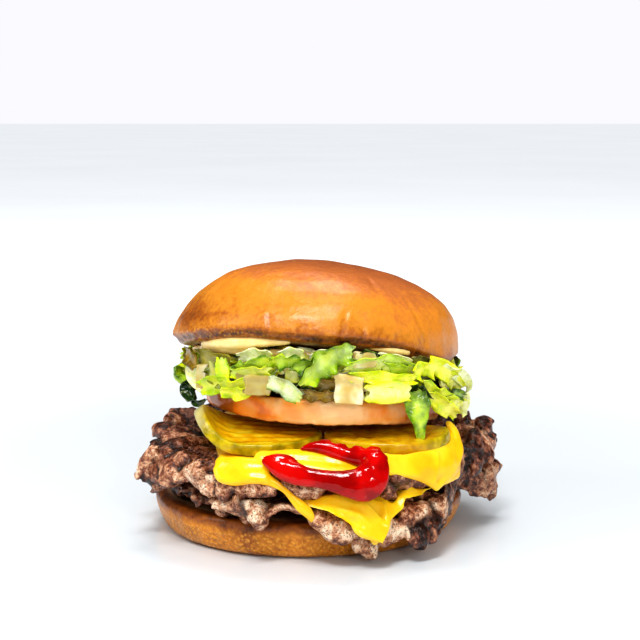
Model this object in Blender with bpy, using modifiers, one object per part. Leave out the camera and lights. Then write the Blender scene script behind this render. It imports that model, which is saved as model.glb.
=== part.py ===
"""Double cheeseburger, stacked as the real one is: bun base, lower patty, lower cheese slice, upper patty,
upper cheese slice, ketchup, two crinkle-cut pickle slices, tomato slice, shredded salad, spread and bun lid.
Metres, +Z up, origin at the middle of the bun's flat underside, front towards -Y."""

import math
from collections import namedtuple

import bmesh
import bpy
from mathutils import Vector, noise
from mathutils.bvhtree import BVHTree

MM = 0.001
GAP = 0.5 * MM  # between two pieces that lie on each other
CHEESE_GAP = 0.7 * MM  # between a patty and its cheese
STEEP_GAP = 1.4 * MM  # added to that where the patty is steep

# Bun
BASE_RADIUS = 54.2 * MM
BASE_HEIGHT = 12.6 * MM
LID_RADIUS = 49.9 * MM
LID_HEIGHT = 31.8 * MM
LID_CENTRE = (2.5 * MM, 0.0)
LID_SEAT = 60.0 * MM  # height of the middle of the lid's cut face
LEAN_BACK = math.radians(10.0)
LEAN_RIGHT = math.radians(3.7)

# Layers, from the bun base up
PATTY_THICKNESS = 7.6 * MM
BEND_WIDTH = 8 * MM  # how far a patty's rim takes to bend
PATTY_STEPS = 48  # facets round a patty and the cheese that lies on it
PATTY_RINGS = (0, 0.5, 0.67, 0.83)
ON_PATTY = 0.6  # share of a cheese slice's rings that lie on the patty; the others hang
CHEESE_THICKNESS = 1.6 * MM
SLICE_HALF_SIDE = 41 * MM  # a square cheese slice
KETCHUP_FLATNESS = 0.7  # how high the bead stands for its width
PICKLE_THICKNESS = 4.2 * MM
CRINKLE_DEPTH = 0.4 * MM
CRINKLE_PITCH = 4.6 * MM
TOMATO_RADIUS = 40.0 * MM
TOMATO_THICKNESS = 8.4 * MM
TOMATO_CENTRE = (5.0 * MM, -5.0 * MM)
TOMATO_SEAT = 42.8 * MM  # height of the tomato slice's middle over the origin
TOMATO_SLOPE = (-0.03, -0.10)  # rise to the right and to the back
TOMATO_CURL = 3.0 * MM  # how far its left end is lifted
SALAD_RADIUS = 47.5 * MM
SALAD_EDGE = 4.5 * MM
SPREAD_RADIUS = 42 * MM
SPREAD_THICKNESS = 2.6 * MM

LOWER_PATTY_MIDDLE = BASE_HEIGHT + GAP + PATTY_THICKNESS / 2
LOWER_CHEESE_TOP = LOWER_PATTY_MIDDLE + PATTY_THICKNESS / 2 + CHEESE_GAP + CHEESE_THICKNESS
UPPER_PATTY_MIDDLE = LOWER_CHEESE_TOP + GAP + PATTY_THICKNESS / 2
UPPER_CHEESE_TOP = UPPER_PATTY_MIDDLE + PATTY_THICKNESS / 2 + CHEESE_GAP + CHEESE_THICKNESS
PICKLE_SEAT = UPPER_CHEESE_TOP + GAP + CRINKLE_DEPTH + PICKLE_THICKNESS / 2

# A patty's rim in one direction (degrees from +X): how far the meat reaches along its own bent middle, where
# it starts to bend (mm), by how much (degrees, down), and the extra meat over and under the rim (mm).
Rim = namedtuple("Rim", "direction reach bend_start bend over under")

LOWER_RIM = [
    Rim(0, 68, 55, -4, 1.0, 1.5), Rim(20, 60, 55, 6, 0.5, 0), Rim(50, 56, 55, 15, 0, 0),
    Rim(82, 60, 55, 26, 0.3, 0), Rim(112, 56, 55, 10, 0, 0), Rim(140, 54, 55, 0, 0, 0),
    Rim(180, 50, 55, 0, 0, 0), Rim(205, 51.5, 55, 0, 0.4, 0), Rim(228, 54, 55, 0, 0.2, 0),
    Rim(243, 57, 56, 14, 0.4, 0), Rim(251, 65, 55.5, 52, 0.8, 0), Rim(258, 65, 55.5, 52, 0.8, 0),
    Rim(266, 57, 56, 10, 0, 0), Rim(274, 63, 55.5, 54, 0.6, 0), Rim(281, 66, 55, 66, 0.6, 0.6),
    Rim(288, 70, 55, 76, 0, 0), Rim(296, 63, 55, 50, 0, 0), Rim(303, 69, 55, 72, 0.6, 0.4),
    Rim(309, 69, 55, 72, 0.8, 0.4), Rim(318, 64, 55, 52, 1.0, 0.6), Rim(330, 62, 55, 32, 1.0, 1.0),
    Rim(343, 65, 55, 6, 1.0, 1.5),
]
UPPER_RIM = [
    Rim(0, 67.5, 54, -2, 6.5, 0.5), Rim(16, 64, 54, -6, 4.5, 0), Rim(45, 55, 50, 10, 1, 0),
    Rim(75, 56, 50, 15, 0.5, 0), Rim(105, 58, 50, 20, 0, 0), Rim(132, 55, 48, 0, 0.5, 0),
    Rim(151, 56, 43, -28, 0.5, 0), Rim(164, 59.5, 43, -22, 0.5, 0), Rim(177, 52, 46, 6, 0, 0),
    Rim(195, 63, 46, 36, 2, 0), Rim(208, 65, 47, 38, 2, 0), Rim(224, 60, 50, 10, 1.2, 0),
    Rim(240, 60, 54, 10, 0, 0.4), Rim(256, 62, 54, 20, 0, 0.8), Rim(266, 59.5, 54, 20, 0, 0),
    Rim(276, 61.5, 54, 30, 0, 0), Rim(290, 62.5, 54, 36, 0, 0.3), Rim(305, 61, 54, 24, 0.5, 0),
    Rim(322, 60, 54, 8, 0.5, 0), Rim(342, 64, 54, -2, 4.5, 0.5),
]
PattyShape = namedtuple("PattyShape", "middle rims ragged seed")
LOWER_PATTY = PattyShape(LOWER_PATTY_MIDDLE, LOWER_RIM, 1.2 * MM, 3.1)
UPPER_PATTY = PattyShape(UPPER_PATTY_MIDDLE, UPPER_RIM, 1.2 * MM, 7.7)

# Where a cheese slice's front corner points (degrees), and the drips that hang past the square or, below
# nought, the stretches that melted back: direction, width either side (degrees) and length.
LOWER_CORNER = 289
LOWER_DRIPS = [
    (291, 11, 20 * MM), (272, 12, 16 * MM), (281, 14, 9 * MM), (307, 20, 14 * MM), (200, 34, -9 * MM),
]
UPPER_CORNER = 240
UPPER_DRIPS = [
    (250, 17, 15 * MM), (276, 20, 16 * MM), (297, 14, 10 * MM), (313, 22, 23 * MM), (327, 14, 7 * MM),
    (155, 34, -12 * MM), (213, 26, -7 * MM),
]

# The ketchup's loop from its left end: direction (degrees), distance along the patty's top and down its
# side (mm), and half the bead's width (mm).
KETCHUP_LOOP = [
    (252, 57.5, 2.4), (262, 62.5, 3.0), (272, 66.5, 3.1), (281, 69.5, 3.6), (288, 72.0, 4.4),
    (292, 66.0, 4.4), (291, 59.5, 3.6), (283, 56.3, 2.8), (272, 54.8, 2.5), (261, 54.6, 2.4),
]

COLOURS = {  # base colour, roughness
    "bun": ((0.62, 0.25, 0.06), 0.35),
    "beef": ((0.16, 0.08, 0.05), 0.6),
    "cheese": ((0.95, 0.60, 0.06), 0.35),
    "ketchup": ((0.55, 0.01, 0.005), 0.15),
    "pickle": ((0.32, 0.27, 0.02), 0.3),
    "tomato": ((0.75, 0.16, 0.05), 0.25),
    "salad": ((0.35, 0.55, 0.06), 0.4),
    "spread": ((0.90, 0.78, 0.50), 0.35),
}


def smooth(value):
    t = min(1.0, max(0.0, value))
    return t * t * (3 - 2 * t)


def lobed(angle, base, lobes):
    """base, plus each lobe's extra, which fades to nothing a width either side of its direction."""
    value = base
    for direction, width, extra in lobes:
        away = abs((math.degrees(angle) - direction + 180) % 360 - 180)
        if away < width:
            value += extra * 0.5 * (1 + math.cos(math.pi * away / width))
    return value


def wobble(angle, pace, seed):
    """Smooth unevenness round a piece, between about -1 and 1."""
    return noise.noise(Vector((math.cos(angle) * pace, math.sin(angle) * pace, seed)))


def polar(radius, angle, height):
    return Vector((radius * math.cos(angle), radius * math.sin(angle), height))


def slab_profile(flat, rim_rings):
    """A turned slab's outline from its top pole to the bottom one. Across runs 0 to 1 over the flat, through
    the places named, and 1 to 2 round the rim; level is 1 on top and -1 below."""
    turns = [math.pi / 2 - math.pi * i / rim_rings for i in range(rim_rings + 1)]
    rim = [(1 + math.cos(turn), math.sin(turn)) for turn in turns]
    return [(x, 1.0) for x in flat] + rim + [(x, -1.0) for x in reversed(flat)]


def turned(profile, steps):
    """The closed mesh that a profile makes when it is turned once about Z."""
    outline = bpy.data.meshes.new("outline")
    edges = [(i, i + 1) for i in range(len(profile) - 1)]
    outline.from_pydata([(radius, 0.0, height) for radius, height in profile], edges, [])
    guide = bpy.data.objects.new("outline", outline)
    bpy.context.scene.collection.objects.link(guide)
    screw = guide.modifiers.new("Screw", "SCREW")
    screw.steps = screw.render_steps = steps
    screw.use_merge_vertices = True
    screw.merge_threshold = 0.00001
    return evaluated(guide)


def evaluated(guide):
    """The mesh that a guide object makes; the guide itself is removed."""
    mesh = bpy.data.meshes.new_from_object(guide.evaluated_get(bpy.context.evaluated_depsgraph_get()))
    bpy.data.objects.remove(guide)
    return mesh


def shaped(mesh, rule):
    """Moves each vertex of a turned mesh to rule(radius, height, angle)."""
    for vertex in mesh.vertices:
        x, y, z = vertex.co
        vertex.co = rule(math.hypot(x, y), z, math.atan2(y, x))
    return mesh


def material(finish):
    found = bpy.data.materials.get(finish)
    if found:
        return found
    colour, roughness = COLOURS[finish]
    made = bpy.data.materials.new(finish)
    made.use_nodes = True
    shader = made.node_tree.nodes["Principled BSDF"]
    shader.inputs["Base Color"].default_value = (*colour, 1.0)
    shader.inputs["Roughness"].default_value = roughness
    shader.inputs["Metallic"].default_value = 0.0
    return made


def place(name, mesh, finish, parts, parent=None):
    """Welds a mesh, turns its faces outwards and adds it as a named piece."""
    shape = bmesh.new()
    shape.from_mesh(mesh)
    bmesh.ops.remove_doubles(shape, verts=shape.verts, dist=0.000001)
    bmesh.ops.recalc_face_normals(shape, faces=shape.faces)
    shape.to_mesh(mesh)
    shape.free()
    mesh.shade_smooth()
    mesh.set_sharp_from_angle(angle=math.radians(50))
    mesh.name = name
    piece = bpy.data.objects.new(name, mesh)
    piece.data.materials.append(material(finish))
    parts.objects.link(piece)
    piece.parent = parent
    return piece


def bun_base(parts):
    """The cut lower half: a little wider at the cut, with a short curve down to its flat underside."""
    side, foot = 52.6 * MM, 48.6 * MM
    profile = [(across, BASE_HEIGHT) for across in (0, 28 * MM, 47 * MM, BASE_RADIUS - 1.2 * MM)]
    profile += [(BASE_RADIUS, BASE_HEIGHT - 1.4 * MM), (BASE_RADIUS - 0.4 * MM, 7.5 * MM), (side, 4.0 * MM)]
    profile += [(side - 1.4 * MM, 1.3 * MM), (foot, 0), (24 * MM, 0), (0, 0)]

    def rule(radius, height, angle):
        swell = wobble(angle, 2.2, 0.7) * 0.8 * MM * smooth((radius - 40 * MM) / (10 * MM))
        return polar(radius + swell, angle, height)

    place("bun_base", shaped(turned(profile, 36), rule), "bun", parts)


def bun_lid(parts, lean):
    """The domed upper half. Its crust curls in under the rim, and it is fuller on the right."""
    widest, curl, rings = 2.6 * MM, 4.0 * MM, 9
    turns = [math.pi / 2 * i / rings for i in range(rings + 1)]
    dome = [(math.sin(turn), math.cos(turn)) for turn in turns]
    under = [(1 - (1 - math.cos(turn)) * curl / LID_RADIUS, -math.sin(turn)) for turn in turns[3::3]]
    profile = dome + under + [(0.5, -1.0), (0.0, -1.0)]

    def rule(across, level, angle):
        to_right = 0.5 + 0.5 * math.cos(angle)
        fullness = 2.15 + 0.25 * to_right
        lip = 1.2 * MM * (1 - to_right) * smooth(1 - 3.5 * abs(level))
        radius = LID_RADIUS * (1 + 0.012 * wobble(angle, 1.6, 5.0)) - 1.0 * MM * (1 - to_right) + lip
        if level < 0:
            return polar(across * radius, angle, widest * (1 + level))
        out, up = across ** (2 / fullness), level ** (2 / fullness)
        dent = 0.5 * MM * wobble(angle, 2.5 * out, 2.0) * up
        return polar(out * radius, angle, widest + (LID_HEIGHT - widest) * up + dent)

    place("bun_lid", shaped(turned(profile, 36), rule), "bun", parts, lean)


def rim_at(shape, angle):
    """A patty's rim in any direction, eased between the named ones, in metres and radians."""
    direction = math.degrees(angle) % 360
    for i, low in enumerate(shape.rims):
        high = shape.rims[(i + 1) % len(shape.rims)]
        ahead = (direction - low.direction) % 360
        span = (high.direction - low.direction) % 360
        if ahead <= span:
            share = smooth(ahead / span)
            reach, start, bend, over, under = (a + (b - a) * share for a, b in zip(low[1:], high[1:]))
            rough = shape.ragged * (wobble(angle, 4.5, shape.seed) + 0.6 * wobble(angle, 10.0, shape.seed))
            return Rim(angle, reach * MM + rough, start * MM, math.radians(bend), over * MM, under * MM)


def patty_path(shape, rim, along):
    """Radius, height and slope of a patty's middle surface this far out from the centre."""
    pieces = 24
    radius = height = slope = 0.0
    for i in range(pieces):
        slope = rim.bend * smooth((along * (i + 0.5) / pieces - rim.bend_start) / BEND_WIDTH)
        radius += math.cos(slope) * along / pieces
        height -= math.sin(slope) * along / pieces
    return radius, shape.middle + height, slope


def half_patty(rim, along, extra):
    """Half the patty's thickness, with the extra meat of its rim."""
    return PATTY_THICKNESS / 2 + extra * smooth((along / rim.reach - 0.78) / 0.22)


def patty_along(across, rim):
    """Distance out from the centre: half the rings lie inside the bend, and the others share the rest."""
    edge = PATTY_THICKNESS / 2
    flat = rim.reach - edge
    inner = min(rim.bend_start - 3 * MM, 0.75 * flat)
    if across > 1:
        return flat + (across - 1) * edge
    return inner * across * 2 if across < 0.5 else inner + (flat - inner) * (across * 2 - 1)


def cheese_along(across, rim, reach):
    """The same for a cheese slice: its rings lie right over the patty's, and the last ones hang past it."""
    edge = CHEESE_THICKNESS / 2
    flat = reach - edge
    last = patty_along(1, rim)
    lying = min(last, 0.85 * flat)
    if across > 1:
        return flat + (across - 1) * edge
    if across > ON_PATTY:
        return lying + (flat - lying) * (across - ON_PATTY) / (1 - ON_PATTY)
    return patty_along(across / ON_PATTY, rim) * lying / last


def patty(name, shape, parts):
    """A smashed patty: flat where it is pressed, with a ragged rim that hangs over what is under it."""

    def rule(across, level, angle):
        rim = rim_at(shape, angle)
        along = patty_along(across, rim)
        radius, height, slope = patty_path(shape, rim, along)
        lift = level * half_patty(rim, along, rim.over if level >= 0 else rim.under)
        return polar(radius + lift * math.sin(slope), angle, height + lift * math.cos(slope))

    return place(name, shaped(turned(slab_profile(PATTY_RINGS, 4), PATTY_STEPS), rule), "beef", parts)


def on_patty(shape, along, angle, lift):
    """Radius, height and slope of a sheet that lies on the patty and hangs round its rim."""
    hang = math.radians(80)
    rim = rim_at(shape, angle)
    edge = rim.reach - PATTY_THICKNESS / 2
    radius, height, slope = patty_path(shape, rim, min(along, edge))
    lifted = half_patty(rim, min(along, edge), rim.over) + lift + STEEP_GAP * math.sin(abs(slope))
    past = max(0.0, along - edge)
    turn = min(past / lifted, max(0.0, hang - slope))
    radius += lifted * math.sin(slope + turn)
    height += lifted * math.cos(slope + turn)
    down = past - turn * lifted
    radius += down * math.cos(slope + turn)
    height -= down * math.sin(slope + turn)
    return radius, height, slope + turn


def keep_clear(mesh, under):
    """Eases a mesh out until its faces' middles and edges are CHEESE_GAP or more from the piece under it."""
    faces = [list(face.vertices) for face in under.polygons]
    tree = BVHTree.FromPolygons([vertex.co for vertex in under.vertices], faces)
    for _ in range(30):
        pushes = {}
        for face in mesh.polygons:
            corners = [mesh.vertices[i].co for i in face.vertices]
            middles = [(a + b) / 2 for a, b in zip(corners, corners[1:] + corners[:1])]
            for spot in middles + [sum(corners, Vector()) / len(corners)]:
                nearest, normal, _, _ = tree.find_nearest(spot)
                short = CHEESE_GAP - (spot - nearest).dot(normal)
                for i in face.vertices:
                    if short > 2 * pushes.get(i, Vector()).length:
                        pushes[i] = normal * short / 2
        for i, push in pushes.items():
            mesh.vertices[i].co += push
    return mesh


def cheese(name, shape, under, corner, drips, parts):
    """A melted square slice: it follows the patty's top, and its corners and drips hang over the rim."""
    half, squareness = CHEESE_THICKNESS / 2, 5

    def rule(across, level, angle):
        turn = angle - math.radians(corner - 45)
        square = abs(math.cos(turn)) ** squareness + abs(math.sin(turn)) ** squareness
        reach = lobed(angle, SLICE_HALF_SIDE / square ** (1 / squareness), drips)
        along = cheese_along(across, rim_at(shape, angle), reach)
        radius, height, slope = on_patty(shape, along, angle, CHEESE_GAP + half)
        rise = level * half
        return polar(radius + rise * math.sin(slope), angle, height + rise * math.cos(slope))

    rings = [ring * ON_PATTY for ring in PATTY_RINGS] + [ON_PATTY, (1 + ON_PATTY) / 2]
    body = shaped(turned(slab_profile(rings, 2), PATTY_STEPS), rule)
    place(name, keep_clear(body, under.data), "cheese", parts)


def on_loop(loop, share):
    """A point of a closed smooth line through the loop's points; share runs from 0 to 1 once round."""
    place_on_line = share * len(loop)
    i = int(place_on_line)
    t = place_on_line - i
    a, b, c, d = (Vector(loop[(i + step) % len(loop)]) for step in (-1, 0, 1, 2))
    return b + 0.5 * t * (c - a + t * (2 * a - 5 * b + 4 * c - d + t * (3 * (b - c) + d - a)))


def ketchup(parts):
    """A thick bead squeezed on in a loop: it lies on the upper cheese slice and sags over its front edge."""
    around, across = 24, 8
    bpy.ops.mesh.primitive_torus_add(
        major_segments=around, minor_segments=across, major_radius=1.0, minor_radius=0.25
    )
    guide = bpy.context.object
    body = evaluated(guide)
    for vertex in body.vertices:
        x, y, z = vertex.co
        share = (math.atan2(y, x) / (2 * math.pi)) % 1
        direction, along, thick = on_loop(KETCHUP_LOOP, share)
        ahead, further, _ = on_loop(KETCHUP_LOOP, share + 0.005) - Vector((direction, along, thick))
        course = Vector((math.radians(ahead) * along, further)).normalized()
        side = (math.hypot(x, y) - 1.0) / 0.25 * thick
        angle = math.radians(direction) + side * course.y / along
        lift = CHEESE_GAP + CHEESE_THICKNESS + GAP + thick * MM * KETCHUP_FLATNESS * (1 + z / 0.25)
        radius, height, _ = on_patty(UPPER_PATTY, (along - side * course.x) * MM, angle, lift)
        vertex.co = polar(radius, angle, height)
    place("ketchup", body, "ketchup", parts)


def pickle_slice(name, centre, size, ridges, middle, parts):
    """A crinkle-cut slice: an oval slab (half width across its ridges, then along them) that ridges run over
    in the direction given."""
    shape = bmesh.new()
    bmesh.ops.create_grid(shape, x_segments=22, y_segments=4, size=1.0)
    for vertex in shape.verts:
        u, v, _ = vertex.co
        x = u * math.sqrt(1 - 0.5 * v * v) * size[0]
        y = v * math.sqrt(1 - 0.5 * u * u) * size[1]
        vertex.co = Vector((x, y, CRINKLE_DEPTH * math.sin(2 * math.pi * x / CRINKLE_PITCH)))
    sheet = bpy.data.meshes.new(name)
    shape.to_mesh(sheet)
    shape.free()
    guide = bpy.data.objects.new(name, sheet)
    bpy.context.scene.collection.objects.link(guide)
    shell = guide.modifiers.new("Solidify", "SOLIDIFY")
    shell.thickness = PICKLE_THICKNESS
    shell.offset = 0
    body = evaluated(guide)
    turn = math.radians(ridges - 90)
    for vertex in body.vertices:
        x, y, z = vertex.co
        across = x * math.cos(turn) - y * math.sin(turn) + centre[0]
        back = x * math.sin(turn) + y * math.cos(turn) + centre[1]
        vertex.co = Vector((across, back, middle(across, back) + z))
    place(name, body, "pickle", parts)


def left_pickle_middle(x, y):
    """Rises to the back on the left, where its end curls up past the tomato."""
    curl = max(0.0, (-24 * MM - x) / (10 * MM)) ** 1.5
    rise = 0.02 + 0.075 * smooth(-x / (25 * MM))
    return PICKLE_SEAT + rise * (y + 50 * MM) + 6.0 * MM * curl


def right_pickle_middle(x, y):
    """Lies level, with its right end lifted a little past the tomato's side."""
    curl = max(0.0, (x - 38 * MM) / (12 * MM)) ** 1.5
    return PICKLE_SEAT + 2.5 * MM * curl


def tomato_middle(x, y):
    """Height of the middle of the tomato slice, which leans back and curls up at its left end."""
    curl = TOMATO_CURL * smooth((-8 * MM - x) / (30 * MM))
    return TOMATO_SEAT + TOMATO_SLOPE[0] * x + TOMATO_SLOPE[1] * y + curl


def tomato_slice(parts):
    """One thick slice that leans back on the pickles, with its skin round the rim."""
    bulge = 1.2 * MM
    rim = [(1.0, 1.0), (1.7, 0.86), (2.0, 0.35), (2.0, -0.35), (1.7, -0.86), (1.0, -1.0)]
    profile = [(0.0, 1.0), (0.5, 1.0)] + rim + [(0.5, -1.0), (0.0, -1.0)]

    def rule(across, level, angle):
        reach = TOMATO_RADIUS * (1 + 0.012 * math.cos(5 * angle + 0.6) + 0.01 * math.cos(2 * angle)) - bulge
        radius = across * reach if across <= 1 else reach + (across - 1) * bulge
        x = TOMATO_CENTRE[0] + radius * math.cos(angle)
        y = TOMATO_CENTRE[1] + radius * math.sin(angle)
        return Vector((x, y, tomato_middle(x, y) + level * TOMATO_THICKNESS / 2))

    place("tomato_slice", shaped(turned(profile, 36), rule), "tomato", parts)


def lid_seat(x, y):
    """Height of the lid's cut face over a point of the table."""
    across, back = x - LID_CENTRE[0], y - LID_CENTRE[1]
    return LID_SEAT - math.tan(LEAN_RIGHT) * across - math.tan(LEAN_BACK) * back / math.cos(LEAN_RIGHT)


def salad(parts):
    """The heap of shredded lettuce and onion as one body, out to its uneven edge."""
    lobes = [(200, 30, -2 * MM), (235, 25, 2 * MM), (345, 32, 8 * MM), (300, 20, 2 * MM), (90, 60, -3 * MM)]
    hangs = [(340, 30, 7 * MM), (300, 16, 3.5 * MM), (240, 20, 2.5 * MM), (190, 22, 4 * MM)]

    def rule(across, level, angle):
        ruffle = wobble(angle, 3.4, 1.5) * 2.6 * MM + wobble(angle, 8.0, 4.0) * 1.6 * MM
        flat = lobed(angle, SALAD_RADIUS, lobes) + ruffle - SALAD_EDGE
        radius = across * flat if across <= 1 else flat + (across - 1) * SALAD_EDGE
        x, y = LID_CENTRE[0] + radius * math.cos(angle), LID_CENTRE[1] + radius * math.sin(angle)
        past = math.hypot(x - TOMATO_CENTRE[0], y - TOMATO_CENTRE[1]) - TOMATO_RADIUS - 2.5 * MM
        floor = tomato_middle(x, y) + TOMATO_THICKNESS / 2 + GAP
        floor -= lobed(angle, 0.0, hangs) * smooth(past / (6 * MM))
        ceiling = lid_seat(x, y) - SPREAD_THICKNESS - 2.5 * GAP
        ceiling -= 4 * MM * smooth((radius - LID_RADIUS) / (8 * MM))
        return Vector((x, y, floor + (ceiling - floor) * (0.5 + 0.5 * level)))

    place("salad", shaped(turned(slab_profile((0, 0.4, 0.7, 0.9), 6), 44), rule), "salad", parts)


def spread(parts, lean):
    """Pale spread under the lid, thickest where it shows at the front left."""
    lobes = [(222, 50, 4.5 * MM), (300, 30, 2 * MM), (90, 70, -3 * MM)]
    half = SPREAD_THICKNESS / 2

    def rule(across, level, angle):
        flat = lobed(angle, SPREAD_RADIUS, lobes) + wobble(angle, 2.8, 8.0) * 1.6 * MM - half
        radius = across * flat if across <= 1 else flat + (across - 1) * half
        return polar(radius, angle, level * half - half - GAP)

    place("spread", shaped(turned(slab_profile((0, 0.6), 4), 30), rule), "spread", parts, lean)


def main():
    for old in list(bpy.data.objects):
        bpy.data.objects.remove(old)
    parts = bpy.data.collections.new("double_cheeseburger")
    bpy.context.scene.collection.children.link(parts)
    lean = bpy.data.objects.new("lid_lean", None)
    lean.location = (*LID_CENTRE, LID_SEAT)
    lean.rotation_euler = (-LEAN_BACK, LEAN_RIGHT, 0.0)
    parts.objects.link(lean)

    bun_base(parts)
    lower = patty("patty_lower", LOWER_PATTY, parts)
    cheese("cheese_lower", LOWER_PATTY, lower, LOWER_CORNER, LOWER_DRIPS, parts)
    upper = patty("patty_upper", UPPER_PATTY, parts)
    cheese("cheese_upper", UPPER_PATTY, upper, UPPER_CORNER, UPPER_DRIPS, parts)
    ketchup(parts)
    left_size, right_size = (17.5 * MM, 20.5 * MM), (21 * MM, 16.5 * MM)
    pickle_slice("pickle_left", (-15.5 * MM, -33.5 * MM), left_size, 5, left_pickle_middle, parts)
    pickle_slice("pickle_right", (26.5 * MM, -33 * MM), right_size, 85, right_pickle_middle, parts)
    tomato_slice(parts)
    salad(parts)
    spread(parts, lean)
    bun_lid(parts, lean)


main()
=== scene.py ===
"""Looks for the double cheeseburger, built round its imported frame: every layer gets a finely modelled piece
in the place of its plain solid, with procedural materials. Metres, +Z up, front towards -Y."""

import math
import random
from collections import namedtuple

import bpy
import numpy as np
from bpy.props import FloatProperty, FloatVectorProperty, IntProperty, PointerProperty
from mathutils import Matrix, Vector, kdtree, noise
from mathutils.bvhtree import BVHTree


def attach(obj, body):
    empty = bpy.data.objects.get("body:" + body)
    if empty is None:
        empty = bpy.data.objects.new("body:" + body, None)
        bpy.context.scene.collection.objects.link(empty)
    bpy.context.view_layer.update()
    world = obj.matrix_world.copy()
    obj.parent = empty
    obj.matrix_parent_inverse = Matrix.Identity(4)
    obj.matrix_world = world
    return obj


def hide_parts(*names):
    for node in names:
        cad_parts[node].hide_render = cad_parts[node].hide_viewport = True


bl_info = {
    "name": "Double Cheeseburger",
    "version": (1, 0, 0),
    "blender": (4, 5, 0),
    "location": "3D View > Sidebar > Burger",
    "description": "Builds a double cheeseburger round its packed frame, layer by layer",
    "category": "Add Mesh",
}

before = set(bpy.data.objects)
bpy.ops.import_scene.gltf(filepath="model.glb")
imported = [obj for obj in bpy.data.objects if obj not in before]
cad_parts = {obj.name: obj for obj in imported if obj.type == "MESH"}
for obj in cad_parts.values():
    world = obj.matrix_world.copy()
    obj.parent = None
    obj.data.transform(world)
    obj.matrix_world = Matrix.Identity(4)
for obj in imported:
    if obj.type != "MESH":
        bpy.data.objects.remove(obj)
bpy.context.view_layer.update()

MM = 0.001
WELD = 0.001 * MM
BUN_VOXEL = 0.7 * MM
MEAT_VOXEL = 0.49 * MM
MELT_VOXEL = 0.45 * MM
HIDDEN_SHARE = 0.06  # of the faces that nobody sees, what is kept
HEEL_HEIGHT = 12.6 * MM
PATTY_RIM = 43 * MM
PICKLE_SEAT = 36.2
PICKLE_THICKNESS = 3.9 * MM
RIDGE_SPACING = 4.6
LAMP_DISTANCE = 1.2
CAMERA_PLACE = (0.0043, -0.5239, 0.1466)
CAMERA_PITCH = 8.2

noise.seed_set(4)  # without a seed, noise_vector differs from run to run

# The lid's own frame: it leans back and to the right on what is under it.
LID_CENTRE = Vector((2.5 * MM, 0.0, 60.0 * MM))
LID_LEAN = Matrix.Rotation(math.radians(3.7), 4, "Y") @ Matrix.Rotation(math.radians(-10.0), 4, "X")
LID_HEIGHT = 31.8 * MM


# ---------------------------------------------------------------- modelling


def deselect():
    for piece in bpy.context.selected_objects:
        piece.select_set(False)


def activate(piece):
    deselect()
    piece.select_set(True)
    bpy.context.view_layer.objects.active = piece


def modify(piece, kind, **settings):
    """Adds a modifier, sets it and applies it."""
    activate(piece)
    modifier = piece.modifiers.new(kind.title(), kind)
    for name, value in settings.items():
        setattr(modifier, name, value)
    bpy.ops.object.modifier_apply(modifier=modifier.name)


def added(name, mesh):
    piece = bpy.data.objects.new(name, mesh)
    bpy.context.scene.collection.objects.link(piece)
    return piece


def copy_of(node, name):
    """A welded copy of a frame node's mesh, as a new piece."""
    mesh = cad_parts[node].data.copy()
    mesh.materials.clear()
    for layer in list(mesh.uv_layers):
        mesh.uv_layers.remove(layer)
    piece = added(name, mesh)
    activate(piece)
    bpy.ops.object.mode_set(mode="EDIT")
    bpy.ops.mesh.select_all(action="SELECT")
    bpy.ops.mesh.remove_doubles(threshold=WELD)
    bpy.ops.mesh.customdata_custom_splitnormals_clear()
    bpy.ops.object.mode_set(mode="OBJECT")
    return piece


def remesh(piece, voxel):
    modify(piece, "REMESH", mode="VOXEL", voxel_size=voxel, use_smooth_shade=True)


def soften(piece, times, factor=0.5):
    modify(piece, "SMOOTH", factor=factor, iterations=times)


def points_of(piece):
    points = np.empty(len(piece.data.vertices) * 3, np.float32)
    piece.data.vertices.foreach_get("co", points)
    return points.reshape(-1, 3).astype(float)


def normals_of(piece):
    normals = np.empty(len(piece.data.vertices) * 3, np.float32)
    piece.data.vertex_normals.foreach_get("vector", normals)
    return normals.reshape(-1, 3).astype(float)


def move_to(piece, points):
    piece.data.vertices.foreach_set("co", np.asarray(points, np.float32).ravel())
    piece.data.update()


def keep_value(piece, name, values):
    """Stores one number for each vertex, for a material to read."""
    layer = piece.data.attributes.new(name, "FLOAT", "POINT")
    layer.data.foreach_set("value", np.asarray(values, np.float32))


def noise_at(points, fineness):
    return np.array([noise.noise(Vector(p) * fineness) for p in points])


def raise_surface(piece, lift):
    """Moves each vertex along its normal by its lift."""
    move_to(piece, points_of(piece) + normals_of(piece) * lift[:, None])


def thin_out(piece, hidden):
    """Collapses the faces where hidden(points) is true down to a small share of them."""
    mask = hidden(points_of(piece))
    group = piece.vertex_groups.new(name="hidden")
    group.add([int(i) for i in np.flatnonzero(mask)], 1.0, "REPLACE")
    ratio = 1 - mask.mean() * (1 - HIDDEN_SHARE)
    modify(piece, "DECIMATE", ratio=float(ratio), vertex_group="hidden", vertex_group_factor=1000.0)
    piece.vertex_groups.clear()


def relief(piece, times):
    """How far each vertex stands out of its smoothed surroundings, in millimetres."""
    smooth_piece = added("smoothed", piece.data.copy())
    soften(smooth_piece, times)
    stands = ((points_of(piece) - points_of(smooth_piece)) * normals_of(piece)).sum(axis=1)
    bpy.data.objects.remove(smooth_piece)
    return stands / MM


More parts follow.
